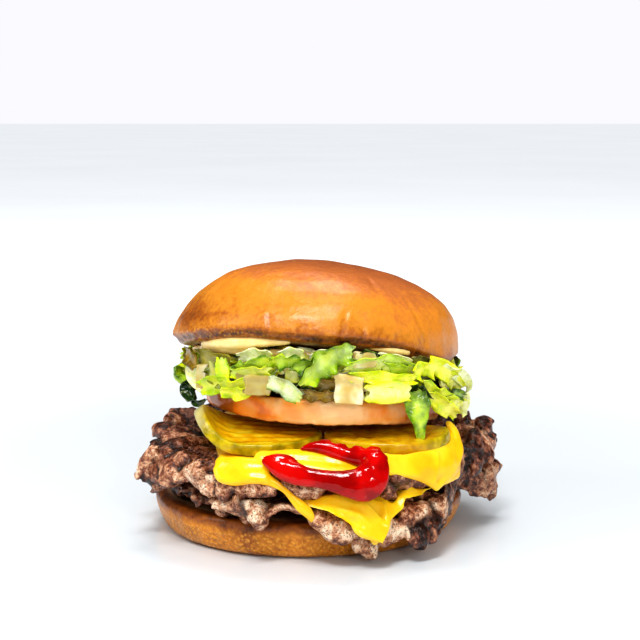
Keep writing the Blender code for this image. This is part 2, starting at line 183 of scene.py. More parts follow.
def surface_spots(piece, count, rng, wanted, apart):
    """Random points of a surface, with their normals, that are wanted and no closer than apart."""
    piece.data.calc_loop_triangles()
    points = points_of(piece)
    corners = np.array([t.vertices[:] for t in piece.data.loop_triangles])
    a, b, c = points[corners[:, 0]], points[corners[:, 1]], points[corners[:, 2]]
    cross = np.cross(b - a, c - a)
    area = np.linalg.norm(cross, axis=1)
    normal = cross / np.maximum(area, 1e-12)[:, None]
    chance = area * wanted((a + b + c) / 3)
    tries = count * 6
    picks = rng.choice(len(area), size=tries, p=chance / chance.sum())
    u, v = rng.random((2, tries))
    flip = u + v > 1
    u[flip], v[flip] = 1 - u[flip], 1 - v[flip]
    spots = a[picks] + (b - a)[picks] * u[:, None] + (c - a)[picks] * v[:, None]
    kept = np.empty((count, 3))
    chosen = []
    for i, spot in enumerate(spots):
        n = len(chosen)
        if n and ((kept[:n] - spot) ** 2).sum(axis=1).min() < apart**2:
            continue
        kept[n] = spot
        chosen.append(i)
        if len(chosen) == count:
            break
    return kept[: len(chosen)], normal[picks[chosen]]


def turned_at(spot, normal, size, rng):
    """A place on a surface: the model's Z along the normal, with a random spin."""
    lean = Vector(normal).to_track_quat("Z", "Y").to_matrix()
    spin = Matrix.Rotation(rng.random() * 2 * math.pi, 3, "Z")
    return np.array(lean @ spin @ Matrix.Diagonal(size)), np.array(spot)


def tiled(name, model, points):
    """One mesh of a model's copies, from the points of all of them in order."""
    corners = np.array([face.vertices[:] for face in model.data.polygons])
    starts = range(0, len(points), len(model.data.vertices))
    faces = np.concatenate([corners + start for start in starts])
    mesh = bpy.data.meshes.new(name)
    mesh.from_pydata(points.tolist(), [], faces.tolist())
    return added(name, mesh)


def copies(name, model, places):
    """One mesh of a model's copies, each at its own (3x3 matrix, point)."""
    shape = points_of(model)
    return tiled(name, model, np.concatenate([shape @ turn.T + spot for turn, spot in places]))


def join(pieces, name):
    activate(pieces[0])
    for piece in pieces:
        piece.select_set(True)
    bpy.ops.object.join()
    pieces[0].name = name
    return pieces[0]


def around(points):
    """Distance from the upright middle line, and direction in degrees from +X."""
    return np.hypot(points[:, 0], points[:, 1]), np.degrees(np.arctan2(points[:, 1], points[:, 0])) % 360


def smooth(value):
    """Eases from 0 to 1 as value, a number or an array, goes from 0 to 1."""
    t = np.minimum(1.0, np.maximum(0.0, value))
    return t * t * (3 - 2 * t)


def near(value, middle, width):
    """1 at the middle, easing to 0 a width away."""
    return smooth(1 - abs(value - middle) / width)


def done(piece, slot, finish, *nodes):
    """Hands a finished piece to the frame."""
    piece.data.materials.clear()
    piece.data.materials.append(finish)
    activate(piece)
    bpy.ops.object.shade_smooth()
    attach(piece, "root")
    if nodes:
        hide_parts(*nodes)
    return piece


# ---------------------------------------------------------------- materials


def paint(code):
    """A linear colour from its web code."""
    parts = [int(code[i : i + 2], 16) / 255 for i in (0, 2, 4)]
    return (*[p / 12.92 if p <= 0.04045 else ((p + 0.055) / 1.055) ** 2.4 for p in parts], 1.0)


MADE = {}


def shared(make, settings):
    """The one material that a function makes, for the pieces that share it."""
    if make not in MADE:
        MADE[make] = make(settings)
    return MADE[make]


class Finish:
    """A procedural material that is put together node by node. Patterns read Object coordinates."""

    def __init__(self, name, scatter=None, **constants):
        """Scatter is how far red, green and blue light travel inside it."""
        self.material = bpy.data.materials.new(name)
        self.material.use_nodes = True
        self.tree = self.material.node_tree
        self.shader = self.tree.nodes["Principled BSDF"]
        self.place = self.tree.nodes.new("ShaderNodeTexCoord").outputs["Object"]
        for socket, value in constants.items():
            self.shader.inputs[socket.replace("_", " ")].default_value = value
        if scatter:
            self.shader.inputs["Subsurface Radius"].default_value = scatter

    def link(self, source, target):
        if hasattr(source, "is_output"):
            self.tree.links.new(source, target)
        else:
            target.default_value = source

    def set(self, socket, source):
        self.link(source, self.shader.inputs[socket])

    def noise(self, size, detail=3.0, roughness=0.5, distortion=0.0):
        """Cloudy noise whose lumps are about size across."""
        node = self.tree.nodes.new("ShaderNodeTexNoise")
        node.inputs["Scale"].default_value = 1 / size
        node.inputs["Detail"].default_value = detail
        node.inputs["Roughness"].default_value = roughness
        node.inputs["Distortion"].default_value = distortion
        self.link(self.place, node.inputs["Vector"])
        return node.outputs["Fac"]

    def cells(self, size):
        """Rounded cells that are about size across: 0 in the middle of each."""
        node = self.tree.nodes.new("ShaderNodeTexVoronoi")
        node.feature = "SMOOTH_F1"
        node.inputs["Scale"].default_value = 1 / size
        self.link(self.place, node.inputs["Vector"])
        return node.outputs["Distance"]

    def ring(self, scale):
        """1 at the origin, falling to 0 at a distance of 1 / scale."""
        spot = self.tree.nodes.new("ShaderNodeMapping")
        spot.inputs["Scale"].default_value = (scale, scale, scale)
        self.link(self.place, spot.inputs["Vector"])
        node = self.tree.nodes.new("ShaderNodeTexGradient")
        node.gradient_type = "SPHERICAL"
        self.link(spot.outputs["Vector"], node.inputs["Vector"])
        return node.outputs["Fac"]

    def value(self, name):
        node = self.tree.nodes.new("ShaderNodeAttribute")
        node.attribute_name = name
        return node.outputs["Fac"]

    def levels(self, source, low, high, to_low=0.0, to_high=1.0):
        """Stretches low..high to to_low..to_high, with soft ends."""
        node = self.tree.nodes.new("ShaderNodeMapRange")
        node.interpolation_type = "SMOOTHSTEP"
        self.link(source, node.inputs["Value"])
        ends = {"From Min": low, "From Max": high, "To Min": to_low, "To Max": to_high}
        for socket, number in ends.items():
            node.inputs[socket].default_value = number
        return node.outputs["Result"]

    def maths(self, operation, a, b):
        node = self.tree.nodes.new("ShaderNodeMath")
        node.operation = operation
        self.link(a, node.inputs[0])
        self.link(b, node.inputs[1])
        return node.outputs["Value"]

    def add(self, a, b):
        return self.maths("ADD", a, b)

    def times(self, a, b):
        return self.maths("MULTIPLY", a, b)

    def ramp(self, source, *stops):
        """Colours along source: (place, web code or colour) pairs."""
        node = self.tree.nodes.new("ShaderNodeValToRGB")
        elements = node.color_ramp.elements
        for place, _ in stops[1:-1]:
            elements.new(place)
        elements[0].position, elements[-1].position = stops[0][0], stops[-1][0]
        for element, (_, code) in zip(elements, stops):
            element.color = paint(code) if isinstance(code, str) else code
        self.link(source, node.inputs["Fac"])
        return node.outputs["Color"]

    def blend(self, factor, a, b):
        """a where factor is 0 and b where it is 1. Either may be a web code."""
        node = self.tree.nodes.new("ShaderNodeMix")
        node.data_type = "RGBA"
        self.link(factor, node.inputs["Factor"])
        for source, socket in ((a, node.inputs[6]), (b, node.inputs[7])):
            self.link(paint(source) if isinstance(source, str) else source, socket)
        return node.outputs[2]

    def bump(self, height, distance, under=None):
        """Relief of a pattern that stands distance high."""
        node = self.tree.nodes.new("ShaderNodeBump")
        node.inputs["Distance"].default_value = distance
        self.link(height, node.inputs["Height"])
        if under:
            self.link(under, node.inputs["Normal"])
        return node.outputs["Normal"]


def crust_finish(name, bun, bubble_depth):
    """Egg-washed crust: golden where it is thin, redder where it baked longest, dark along its cut edge, with
    painted shade in the lid's creases and a painted shadow along the heel's foot.
    """
    crust = Finish(name, (0.004, 0.002, 0.001), Coat_Weight=0.28, Coat_Roughness=0.3,
                   Specular_IOR_Level=0.28, Subsurface_Weight=0.05)
    mottle = crust.noise(11 * MM, 5, 0.6, 0.4)
    fine = crust.noise(1.6 * MM, 3, 0.6)
    # Baking colour, with the pieces' painted shade and painted shadow mixed in.
    shade = crust.add(crust.value("baked"), crust.levels(mottle, 0.35, 0.65, -0.06, 0.06))
    shade = crust.add(shade, crust.levels(fine, 0.34, 0.66, -0.045, 0.045))
    golden, red = tuple(bun.golden), tuple(bun.well_baked)
    colour = crust.ramp(shade, (0.0, "381808"), (0.1, "6A340E"), (0.24, "A0560C"), (0.38, "C47A16"),
                        (0.5, golden),
                        (0.72, red), (1.0, "984E1E"))
    bubbles = crust.cells(1.05 * MM)
    bubbly = crust.value("bubbly")
    light = crust.times(crust.levels(bubbles, 0.12, 0.5, 0.85, 0.0), bubbly)
    colour = crust.blend(light, colour, "F0A63A")
    dark = crust.times(crust.levels(bubbles, 0.5, 0.8, 0.0, 0.5), bubbly)
    colour = crust.blend(dark, colour, "9A5210")
    specks = crust.levels(crust.noise(1.1 * MM, 2, 0.6), 0.62, 0.72, 0.0, 0.3)
    colour = crust.blend(specks, colour, "8A4A12")
    crumb = crust.ramp(crust.noise(2 * MM, 4, 0.6), (0.3, "8A6446"), (0.7, "B8926A"))
    crust.set("Base Color", crust.blend(crust.value("cut"), colour, crumb))
    skin = crust.bump(crust.noise(6 * MM, 4, 0.6), 0.7 * MM)
    skin = crust.bump(crust.times(crust.maths("SUBTRACT", 1.0, bubbles), bubbly), bubble_depth, skin)
    skin = crust.bump(crust.noise(0.9 * MM, 3, 0.6), 0.08 * MM, skin)
    crust.set("Normal", skin)
    crust.set("Roughness", crust.levels(mottle, 0.3, 0.7, 0.3, 0.46))
    return crust.material


def beef_finish(beef):
    """Seared mince: each lump has its own tone, and it is wet. Painted shade makes the gaps between lumps and
    the deep hollows nearly black, and its recesses and pits darker.
    """
    mince = Finish("mince", (0.002, 0.0008, 0.0005), Specular_IOR_Level=0.48, Subsurface_Weight=0.06)
    clouds = mince.noise(4.5 * MM, 4, 0.55, 0.2)
    grains = mince.noise(1.3 * MM, 3, 0.6, 0.2)
    flecks = mince.noise(0.55 * MM, 2, 0.6)
    tone = mince.add(mince.value("tone"), mince.levels(clouds, 0.34, 0.66, -0.24, 0.24))
    tone = mince.add(tone, mince.levels(grains, 0.36, 0.64, -0.15, 0.15))
    # Painted shade and light: darker where the surface sinks, lighter where it stands out.
    tone = mince.add(tone, mince.levels(mince.value("relief"), -0.2, 0.35, -0.14, 0.14))
    colour = mince.ramp(tone, (0.0, "1C0C07"), (0.2, tuple(beef.seared)), (0.42, "885038"),
                        (0.62, tuple(beef.cut)),
                        (0.82, "DCAE8A"), (1.0, "F2D6B8"))
    # Painted shade: nearly black in the gaps between lumps.
    gap = mince.levels(mince.value("gap"), 0.3, 1.0, 0.0, 0.85)
    colour = mince.blend(gap, colour, "1E0D07")
    # Painted shade: tiny dark pits where the fine bump sinks.
    pits = mince.levels(flecks, 0.38, 0.47, 0.8, 0.0)
    colour = mince.blend(pits, colour, "34180E")
    # Painted shade: nearly black in deep hollows, such as between the two patties.
    deep = mince.levels(mince.value("hollow"), -0.9, 0.02, 0.94, 0.0)
    mince.set("Base Color", mince.blend(deep, colour, "100603"))
    mince.set("Roughness", mince.levels(clouds, 0.4, 0.6, 0.12, 0.36))
    rough = mince.bump(grains, 0.55 * MM)
    mince.set("Normal", mince.bump(flecks, 0.34 * MM, rough))
    return mince.material


def cheese_finish(cheese):
    melt = Finish("melted_cheese", (0.006, 0.0034, 0.0006), Roughness=0.2, Specular_IOR_Level=0.35,
                  Subsurface_Weight=0.3, Subsurface_Scale=0.6)
    tone = melt.noise(11 * MM, 3)
    body = tuple(cheese.colour)
    colour = melt.ramp(tone, (0.3, "FDB208"), (0.5, body), (0.72, "FFD232"))
    # Painted shade: deeper orange in the folds.
    fold = melt.levels(melt.value("relief"), -0.9, -0.1, 0.75, 0.0)
    colour = melt.blend(fold, colour, "E08A06")
    # Painted highlight: pale cream on the crests.
    crest = melt.levels(melt.value("relief"), 0.1, 0.8, 0.0, 0.75)
    colour = melt.blend(crest, colour, "FFE47C")
    melt.set("Base Color", colour)
    melt.set("Normal", melt.bump(melt.noise(5 * MM, 3, 0.5), 0.3 * MM))
    return melt.material


def ketchup_finish(sauce):
    ketchup = Finish("glossy_ketchup", (0.002, 0.0002, 0.0001), Roughness=0.1, Subsurface_Weight=0.05,
                     Specular_IOR_Level=0.35)
    tone = ketchup.noise(8 * MM, 3)
    body = ketchup.ramp(tone, (0.4, "8A0000"), (0.5, tuple(sauce.ketchup)), (0.6, "BC0301"))
    ketchup.set("Base Color", ketchup.blend(ketchup.value("thin"), body, "D81004"))
    ketchup.set("Normal", ketchup.bump(ketchup.noise(3.5 * MM, 2, 0.5), 0.25 * MM))
    return ketchup.material


def pickle_finish(pickle):
    chip = Finish("pickled_cucumber", (0.004, 0.003, 0.0006), Roughness=0.2, Specular_IOR_Level=0.4,
                  Subsurface_Weight=0.3)
    tone = chip.noise(7 * MM, 4, 0.6, 0.5)
    flesh = chip.ramp(tone, (0.36, "BE8604"), (0.46, tuple(pickle.flesh)), (0.55, "DAAE0C"), (0.66, "E2C828"))
    # Painted shade: darker in the valleys of the crinkle cut.
    flesh = chip.blend(chip.levels(chip.value("valley"), 0.0, 1.0, 0.0, 0.16), flesh, "AE7602")
    skin = chip.ramp(chip.noise(4 * MM, 4), (0.38, "8E7E04"), (0.5, tuple(pickle.rind)), (0.62, "C4AC10"))
    colour = chip.blend(chip.value("rind"), flesh, skin)
    colour = chip.blend(chip.times(chip.value("pale"), 0.7), colour, "BCB48A")
    chip.set("Base Color", colour)
    chip.set("Normal", chip.bump(chip.noise(2.4 * MM, 3, 0.6), 0.3 * MM))
    return chip.material


def tomato_finish(tomato):
    ripe = Finish("ripe_tomato", (0.005, 0.002, 0.001), Roughness=0.18, Specular_IOR_Level=0.45,
                  Subsurface_Weight=0.25)
    streaks = ripe.noise(11 * MM, 3, 0.5, 0.3)
    # Painted shade and light: the skin darkens towards the slice's ends and is lightest in its middle.
    shade = ripe.add(ripe.value("tone"), ripe.levels(streaks, 0.36, 0.64, -0.2, 0.2))
    skin = ripe.ramp(shade, (0.0, "B86420"), (0.22, tuple(tomato.skin)), (0.5, "F8A850"), (0.8, "FFCC8E"))
    skin = ripe.blend(ripe.times(ripe.value("pale"), 0.55), skin, "FFD49A")
    flesh = ripe.ramp(ripe.noise(3 * MM, 4, 0.6), (0.38, "A8480C"), (0.5, tuple(tomato.flesh)),
                      (0.64, "F0AC5C"))
    ripe.set("Base Color", ripe.blend(ripe.value("skin"), flesh, skin))
    ripe.set("Normal", ripe.bump(ripe.noise(3.5 * MM, 4, 0.6), 0.3 * MM))
    return ripe.material


def leaf_finish(salad):
    """Lettuce: each leaf has its own tint, pales to white towards its rib, and has fine pale veins."""
    leaf = Finish("lettuce", (0.002, 0.003, 0.0003), Roughness=0.2, Specular_IOR_Level=0.4,
                  Subsurface_Weight=0.2)
    mottle = leaf.levels(leaf.noise(4 * MM, 4, 0.6, 0.5), 0.34, 0.66, -0.09, 0.09)
    shade = leaf.add(leaf.value("tint"), mottle)
    green = leaf.ramp(shade, (0.0, "16300A"), (0.18, "4C7404"), (0.38, tuple(salad.green)), (0.56, "BCD604"),
                      (0.76, "DEE60A"), (1.0, "F8F45C"))
    # Olive: wilting on loose shreds, painted shade on the far-left front ones.
    wilted = leaf.ramp(shade, (0.1, "4A3A04"), (0.5, "86660A"), (0.9, "B8901E"))
    green = leaf.blend(leaf.value("wilt"), green, wilted)
    pale = leaf.ramp(leaf.noise(3 * MM, 3, 0.6), (0.38, "E2E8A0"), (0.5, "F2F4CC"), (0.62, "FCFCE6"))
    colour = leaf.blend(leaf.value("rib"), green, pale)
    slant = leaf.add(leaf.times(leaf.value("along"), 2.2),
                       leaf.times(leaf.maths("ABSOLUTE", leaf.value("across"), 0.0), 3.5))
    wander = leaf.add(slant, leaf.levels(leaf.noise(4 * MM, 2), 0.2, 0.8, -3.0, 3.0))
    veins = leaf.levels(leaf.maths("SINE", wander, 0.0), 0.72, 1.0)
    colour = leaf.blend(leaf.times(veins, 0.13), colour, "E4EC8C")
    leaf.set("Base Color", colour)
    pucker = leaf.bump(leaf.noise(3.5 * MM, 3, 0.5), 0.4 * MM)
    leaf.set("Normal", leaf.bump(veins, 0.12 * MM, pucker))
    return leaf.material


def onion_finish(salad):
    onion = Finish("onion", (0.004, 0.0035, 0.0015), Roughness=0.16, Specular_IOR_Level=0.45,
                   Subsurface_Weight=0.5, Transmission_Weight=0.2)
    tone = onion.noise(6 * MM, 2, 0.5, 0.3)
    body = onion.ramp(tone, (0.36, "E0C070"), (0.5, tuple(salad.onion)), (0.64, "F8F0CC"))
    onion.set("Base Color", onion.blend(onion.value("olive"), body, "A89848"))
    onion.set("Normal", onion.bump(onion.noise(3.5 * MM, 2), 0.2 * MM))
    return onion.material


def spread_finish(sauce):
    spread = Finish("mayonnaise", (0.004, 0.003, 0.002), Roughness=0.25, Coat_Weight=0.2,
                    Subsurface_Weight=0.3)
    tone = spread.noise(5 * MM, 3)
    spread.set("Base Color", spread.ramp(tone, (0.35, "ECC878"), (0.65, tuple(sauce.spread))))
    spread.set("Normal", spread.bump(spread.noise(3 * MM, 3), 0.2 * MM))
    return spread.material


def core_finish(salad):
    # Painted shade: the heap's inside is coloured near-black green, standing for the shade deep among the
    # shreds.
    core = Finish("salad_core", Roughness=0.45)
    tone = core.noise(5 * MM, 4, 0.6, 0.6)
    deep = core.ramp(tone, (0.3, "0C0E02"), (0.5, "2A2C04"), (0.62, "5A4A08"), (0.75, "6E6A10"))
    core.set("Base Color", deep)
    core.set("Normal", core.bump(core.noise(3 * MM, 4, 0.6), 1.2 * MM))
    return core.material


# ---------------------------------------------------------------- bun


def in_lid_frame(points):
    back = np.array((Matrix.Translation(LID_CENTRE) @ LID_LEAN).inverted())
    return points @ back[:3, :3].T + back[:3, 3]


def crease(angle, up, line):
    """How deep a point lies in a crease that runs up the lid, one of LID_CREASES."""
    middle, low, high, lean, width = line
    off = abs(angle - middle - lean * (up - low))
    return smooth(1 - off / width) * smooth((up - low) / 0.08) * smooth((high - up) / 0.08)


# Creases of the lid: angle (degrees), lowest and highest place (shares of the height), lean and
# width (degrees).
LID_CREASES = [
    (253, 0.06, 0.34, -8, 2.0),
    (262, 0.04, 0.20, 5, 1.6),
    (279, 0.05, 0.42, 4, 2.2),
    (288, 0.03, 0.24, -6, 1.8),
    (301, 0.05, 0.22, 4, 2.0),
    (318, 0.12, 0.62, -16, 2.4),
    (296, 0.62, 0.84, 12, 3.0),
    (228, 0.04, 0.16, 6, 2.2),
    (40, 0.05, 0.35, 8, 2.4),
    (120, 0.06, 0.40, -8, 2.4),
    (165, 0.04, 0.25, 5, 2.0),
]


def make_heel(bun):
    base = copy_of("bun_base", "heel")
    remesh(base, BUN_VOXEL)
    soften(base, 8)
    points = points_of(base)
    side = 1 - abs(normals_of(base)[:, 2])
    raise_surface(base, (noise_at(points, 90) * 0.5 * MM + noise_at(points, 300) * 0.12 * MM) * side)
    points = points_of(base)
    up = points[:, 2] / HEEL_HEIGHT
    dark_edge = np.clip((up - 0.62 + 0.12 * noise_at(points, 120)) / 0.22, 0, 1)
    out, angle = around(points)
    # Two narrow darker patches, and darker over the whole left side.
    stain = near(angle, 249, 7) + 0.7 * near(angle, 316, 12) + 0.5 * near(angle, 195, 45)
    stain *= np.clip(1.1 - abs(up - 0.35) * 1.6, 0, 1)
    # The last term is a painted contact shadow: the crust darkens along its foot by the floor.
    keep_value(base, "baked", 0.46 - 0.3 * dark_edge - 0.20 * stain - 0.10 * np.clip(0.22 - up, 0, 1) / 0.22)
    keep_value(base, "bubbly", np.clip((0.78 - up) / 0.2, 0, 1))
    keep_value(base, "cut", (up > 0.97) & (out < 50 * MM))
    thin_out(base, lambda p: around(p)[0] < 44 * MM)
    return done(base, "bun", crust_finish("heel_crust", bun, 0.9 * MM), "bun_base")


def make_crown(bun):
    lid = copy_of("bun_lid", "crown")
    remesh(lid, BUN_VOXEL)
    soften(lid, 18)
    points = points_of(lid)
    local = in_lid_frame(points)
    out, angle = around(local)
    up = local[:, 2] / LID_HEIGHT
    # the rim arches at the front and droops at the front right
    arch = 3.0 * near(angle, 242, 42) + 2.4 * near(angle, 285, 36) - 2.6 * near(angle, 332, 34)
    points[:, 2] += arch * smooth((out / MM - 28) / 16) * smooth(1 - up / 0.55) * MM
    move_to(lid, points)
    folds = np.max([crease(angle, up, line) for line in LID_CREASES], axis=0)
    bumps = noise_at(points, 38) * 1.3 + noise_at(points, 110) * 0.3
    bubbly = near(angle, 222, 36) * np.clip((0.22 - up) / 0.14, 0, 1)
    bubbly += 0.35 * np.clip((0.16 - up) / 0.12, 0, 1)
    lift = bumps - 0.38 * folds + 0.25 * noise_at(points, 330) * bubbly
    lift -= 0.5 * near(up, 0.055, 0.04)
    move_to(lid, points + normals_of(lid) * lift[:, None] * MM)
    ragged = np.array([noise.noise(Vector((math.radians(a) * 6, u * 5, 3))) for a, u in zip(angle, up)])
    baked = np.interp(up + 0.02 * ragged, [0, 0.02, 0.04, 0.065, 0.1, 0.17, 0.32, 0.5, 0.7, 0.88, 1.0],
                      [0.14, 0.18, 0.05, 0.16, 0.28, 0.37, 0.48, 0.52, 0.66, 0.84, 0.94])
    sides = 0.24 * near(angle, 206, 70) - 0.07 * near(angle, 312, 42)
    sides *= np.clip(1.3 - up, 0, 1) * smooth((up - 0.1) / 0.2)
    # Painted shade: the crust is darkened along the creases.
    keep_value(lid, "baked", baked - sides - 0.05 * folds)
    keep_value(lid, "bubbly", 0.5 * np.clip(bubbly, 0, 1))
    keep_value(lid, "cut", (up < 0.04) & (out < 46.5 * MM))

    def seated(points):
        spots = in_lid_frame(points)
        return (spots[:, 2] < 1.0 * MM) & (around(spots)[0] < 30 * MM)

    thin_out(lid, seated)
    return done(lid, "bun", crust_finish("crown_crust", bun, 0.45 * MM), "bun_lid")


# ---------------------------------------------------------------- beef


# A stroke of something soft. Its path's points give a place and a half width (mm); flat is its
# half depth as a share of that, measured along facing.
Stroke = namedtuple("Stroke", "path flat facing", defaults=(0.8, (0, -1, 0.3)))


def on_line(points, share):
    """A point of a smooth line through the points; share runs from 0 to 1."""
    place = share * (len(points) - 1)
    i = min(int(place), len(points) - 2)
    t = place - i
    a, b, c, d = (points[min(max(i + step, 0), len(points) - 1)] for step in (-1, 0, 1, 2))
    return b + 0.5 * t * (c - a + t * (2 * a - 5 * b + 4 * c - d + t * (3 * (b - c) + d - a)))


def strokes(name, plans):
    """The strokes as one mesh of beads that overlap, for a remesh to melt together."""
    deselect()
    bpy.ops.mesh.primitive_ico_sphere_add(subdivisions=2, radius=1.0)
    bead = bpy.context.object
    places = []
    for plan in plans:
        dots = [np.array(dot, float) for dot in plan.path]
        length = sum(np.linalg.norm((b - a)[:3]) for a, b in zip(dots, dots[1:]))
        steps = max(2, int(length / (0.45 * min(dot[3] for dot in dots))))
        for step in range(steps + 1):
            share = step / steps
            dot = on_line(dots, share)
            ahead, behind = on_line(dots, min(1, share + 0.04)), on_line(dots, max(0, share - 0.04))
            along = Vector((ahead - behind)[:3]).normalized()
            facing = Vector(plan.facing)
            facing = (facing - along * facing.dot(along)).normalized()
            half = max(0.3, dot[3])
            axes = (along * half, facing.cross(along) * half, facing * half * plan.flat)
            places.append((np.array(axes).T * MM, dot[:3] * MM))
    piece = copies(name, bead, places)
    bpy.data.objects.remove(bead)
    return piece


# Lumps of mince that hang out at the front of each patty.
LOWER_CHUNKS = [
    Stroke([(-28, -52, 18, 2.6), (-22, -54, 18.5, 3.2)], 0.8),
    Stroke([(-16, -56, 18.5, 3.6), (-14.5, -57, 13.5, 2.9)], 0.8),
    Stroke([(-8, -58, 18.5, 2.2), (-3, -58.5, 18.5, 2.2)], 0.8),
    Stroke([(4.8, -59, 13.4, 4.6), (11.5, -60, 12.2, 4.7)], 0.8),
    Stroke([(17, -57, 7, 3), (20.5, -56, 4.5, 2.8)], 0.8),
    Stroke([(25, -56, 10, 4), (28.5, -54, 11, 3.6)], 0.8),
    Stroke([(32, -52, 14, 4.6), (37, -49, 14, 4.4)], 0.8),
    Stroke([(34.5, -48, 8, 3.2), (37, -46, 4, 2.6)], 0.9),
    Stroke([(44, -42, 15.5, 4.2), (50, -34, 15, 4.4)], 0.8),
    Stroke([(54, -19, 15, 1.4), (55.5, -18, 14, 1)], 0.9),
]
UPPER_CHUNKS = [
    Stroke([(-26, -54, 25.5, 3.2), (-18, -57, 26, 3.8), (-11.5, -59, 26, 3)], 0.75),
    Stroke([(-4, -58.5, 25.5, 2.8), (2.5, -58.5, 25, 3.2)], 0.8),
    Stroke([(25, -54, 26.5, 3), (26.5, -54, 22.5, 2.6)], 0.9),
    Stroke([(34, -48.5, 26, 2.4), (38, -46.5, 25.5, 2.6)], 0.8),
    Stroke([(-50, -32, 24, 4.2), (-44, -40, 26, 4.6)], 0.8),
    Stroke([(-47, -33, 30, 3.6), (-40, -41, 30, 3.8)], 0.7),
    Stroke([(-35, -46, 27, 4), (-31, -50, 23.5, 3)], 0.8),
    Stroke([(-53, -29, 30, 3.4), (-58.5, -30, 26, 2.8), (-61, -30, 22, 1.4)], 0.6),
]


def granule():
    """A short rounded strand of minced beef."""
    deselect()
    bpy.ops.mesh.primitive_ico_sphere_add(subdivisions=2, radius=1.0)
    model = bpy.context.object
    bpy.ops.object.mode_set(mode="EDIT")
    bpy.ops.transform.resize(value=(1.5, 0.95, 0.85))
    bpy.ops.object.mode_set(mode="OBJECT")
    return model


def lower_edge(x, y):
    """How far the lower patty's ragged bottom is drawn up: a share of its depth."""
    front = smooth((-y / MM - 30) / 14)
    gap = 0.55 * near(x / MM, -7, 9) + 0.25 * near(x / MM, -34, 24) + 0.3 * near(x / MM, 2, 6)
    return front * gap


def lumps_at(points, lumps):
    """For each point, the lump it belongs to and how deep it lies in the gap to the next one
    (0 to 1). Lumps are pairs of a number and a place."""
    tree = kdtree.KDTree(len(lumps))
    for i, (_, spot) in enumerate(lumps):
        tree.insert(spot, i)
    tree.balance()
    own, gap = [], []
    for point in points:
        wander = noise.noise_vector(Vector(point) * 260) * 1.6 * MM
        found = tree.find_n(Vector(point) + wander, 5)
        mine = lumps[found[0][1]][0]
        others = [away for _, i, away in found if lumps[i][0] != mine]
        own.append(mine)
        gap.append(1 - (others[0] - found[0][2]) / (2.6 * MM) if others else 0)
    return np.array(own), np.clip(gap, 0, 1) * smooth(0.75 + 2.2 * noise_at(points, 95))


def make_patty(node, name, covers, chunks, beef, seed):
    """A smashed patty: clumps of mince round its rim, each grained with strands. Where a cheese
    slice or a bun lies on it, it keeps to its own outline."""
    rng = np.random.default_rng(seed)
    model = granule()
    outline = copy_of(node, "outline")
    body = copy_of(node, name)
    modify(body, "DISPLACE", strength=-1.8 * MM, mid_level=0.0)

    def rim(points):
        return around(points)[0] > PATTY_RIM

    def bare_rim(points):
        draped = (points[:, 1] < -46 * MM) & (points[:, 0] > -24 * MM) & (points[:, 0] < 32 * MM)
        return rim(points) & ~draped

    def grown(piece, title, wanted, count, apart, sizes, depths):
        spots, facing = surface_spots(piece, count, rng, wanted, apart)
        places = []
        for spot, normal in zip(spots, facing):
            size = rng.uniform(*sizes) * MM
            long = rng.uniform(0.8, 1.6)
            sunk = spot - normal * size * rng.uniform(*depths)
            places.append(turned_at(sunk, normal, (size * long, size, size * 0.9), rng))
        return copies(title, model, places), [spot for _, spot in places]

    clumps, middles = grown(outline, "clumps", bare_rim, beef.clumps, 8.6 * MM, (3.4, 6.2), (0.5, 1.0))
    lumps = list(enumerate(middles))
    for i, chunk in enumerate(chunks):
        lumps += [(len(middles) + i, Vector(dot[:3]) * MM) for dot in chunk.path]
    rough = join([body, clumps, strokes("chunks", chunks)], name)
    remesh(rough, 0.9 * MM)
    soften(rough, 1)
    points = points_of(rough)
    _, gap = lumps_at(points, lumps)
    points -= normals_of(rough) * (gap**1.3 * 1.6 * MM)[:, None]
    if node == "patty_lower":
        drawn = lower_edge(points[:, 0], points[:, 1])
        points[:, 2] += np.clip(21.0 * MM - points[:, 2], 0, None) * drawn
        front = smooth((-6 - points[:, 1] / MM) / 10)
        points[:, 0] += 0.5 * np.clip(-44 * MM - points[:, 0], 0, None)
        points[:, 0] -= 0.62 * front * np.clip(points[:, 0] - 45 * MM, 0, None)
    else:
        points[:, 0] += 0.38 * np.clip(-50 * MM - points[:, 0], 0, None)
        points[:, 2] -= 0.7 * np.clip(points[:, 2] - 35.5 * MM, 0, None)
    move_to(rough, points)
    strands, _ = grown(rough, "strands", rim, beef.strands, 1.4 * MM, (0.5, 1.3), (0.25, 0.8))
    patty = join([rough, strands], name)
    remesh(patty, MEAT_VOXEL)
    soften(patty, 2, 0.4)
    thin_out(patty, lambda p: around(p)[0] < 44.5 * MM)
    stay_under(patty, outline, [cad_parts[cover] for cover in covers])
    # Relief and hollow drive painted shade in the colour.
    keep_value(patty, "relief", relief(patty, 8))
    keep_value(patty, "hollow", relief(patty, 110))
    points = points_of(patty)
    own, gap = lumps_at(points, lumps)
    # The gap also drives painted shade in the colour.
    keep_value(patty, "gap", gap)
    tones = rng.uniform(0.26, 0.86, len(middles) + len(chunks))
    tones[len(middles):] = rng.uniform(0.55, 0.85, len(chunks))
    right = smooth((points[:, 0] / MM - 22) / 30)
    left = smooth((-points[:, 0] / MM - 34) / 16) * (node == "patty_upper")
    facing = normals_of(patty)[:, 2]
    # Darker on faces turned up, from the sear; darker still on faces turned down, sear with painted shade
    # under the patty.
    seared = 0.18 * np.clip(facing, 0, 1) ** 2 + 0.4 * np.clip(-facing, 0, 1)
    keep_value(patty, "tone", tones[own] + 0.03 - 0.06 * right - 0.18 * left - seared)
    bpy.data.objects.remove(outline)
    bpy.data.objects.remove(model)
    return done(patty, "beef", shared(beef_finish, beef), node)


def tree_of(piece):
    points = points_of(piece)
    faces = [face.vertices[:] for face in piece.data.polygons]
    return BVHTree.FromPolygons([Vector(p) for p in points], faces)


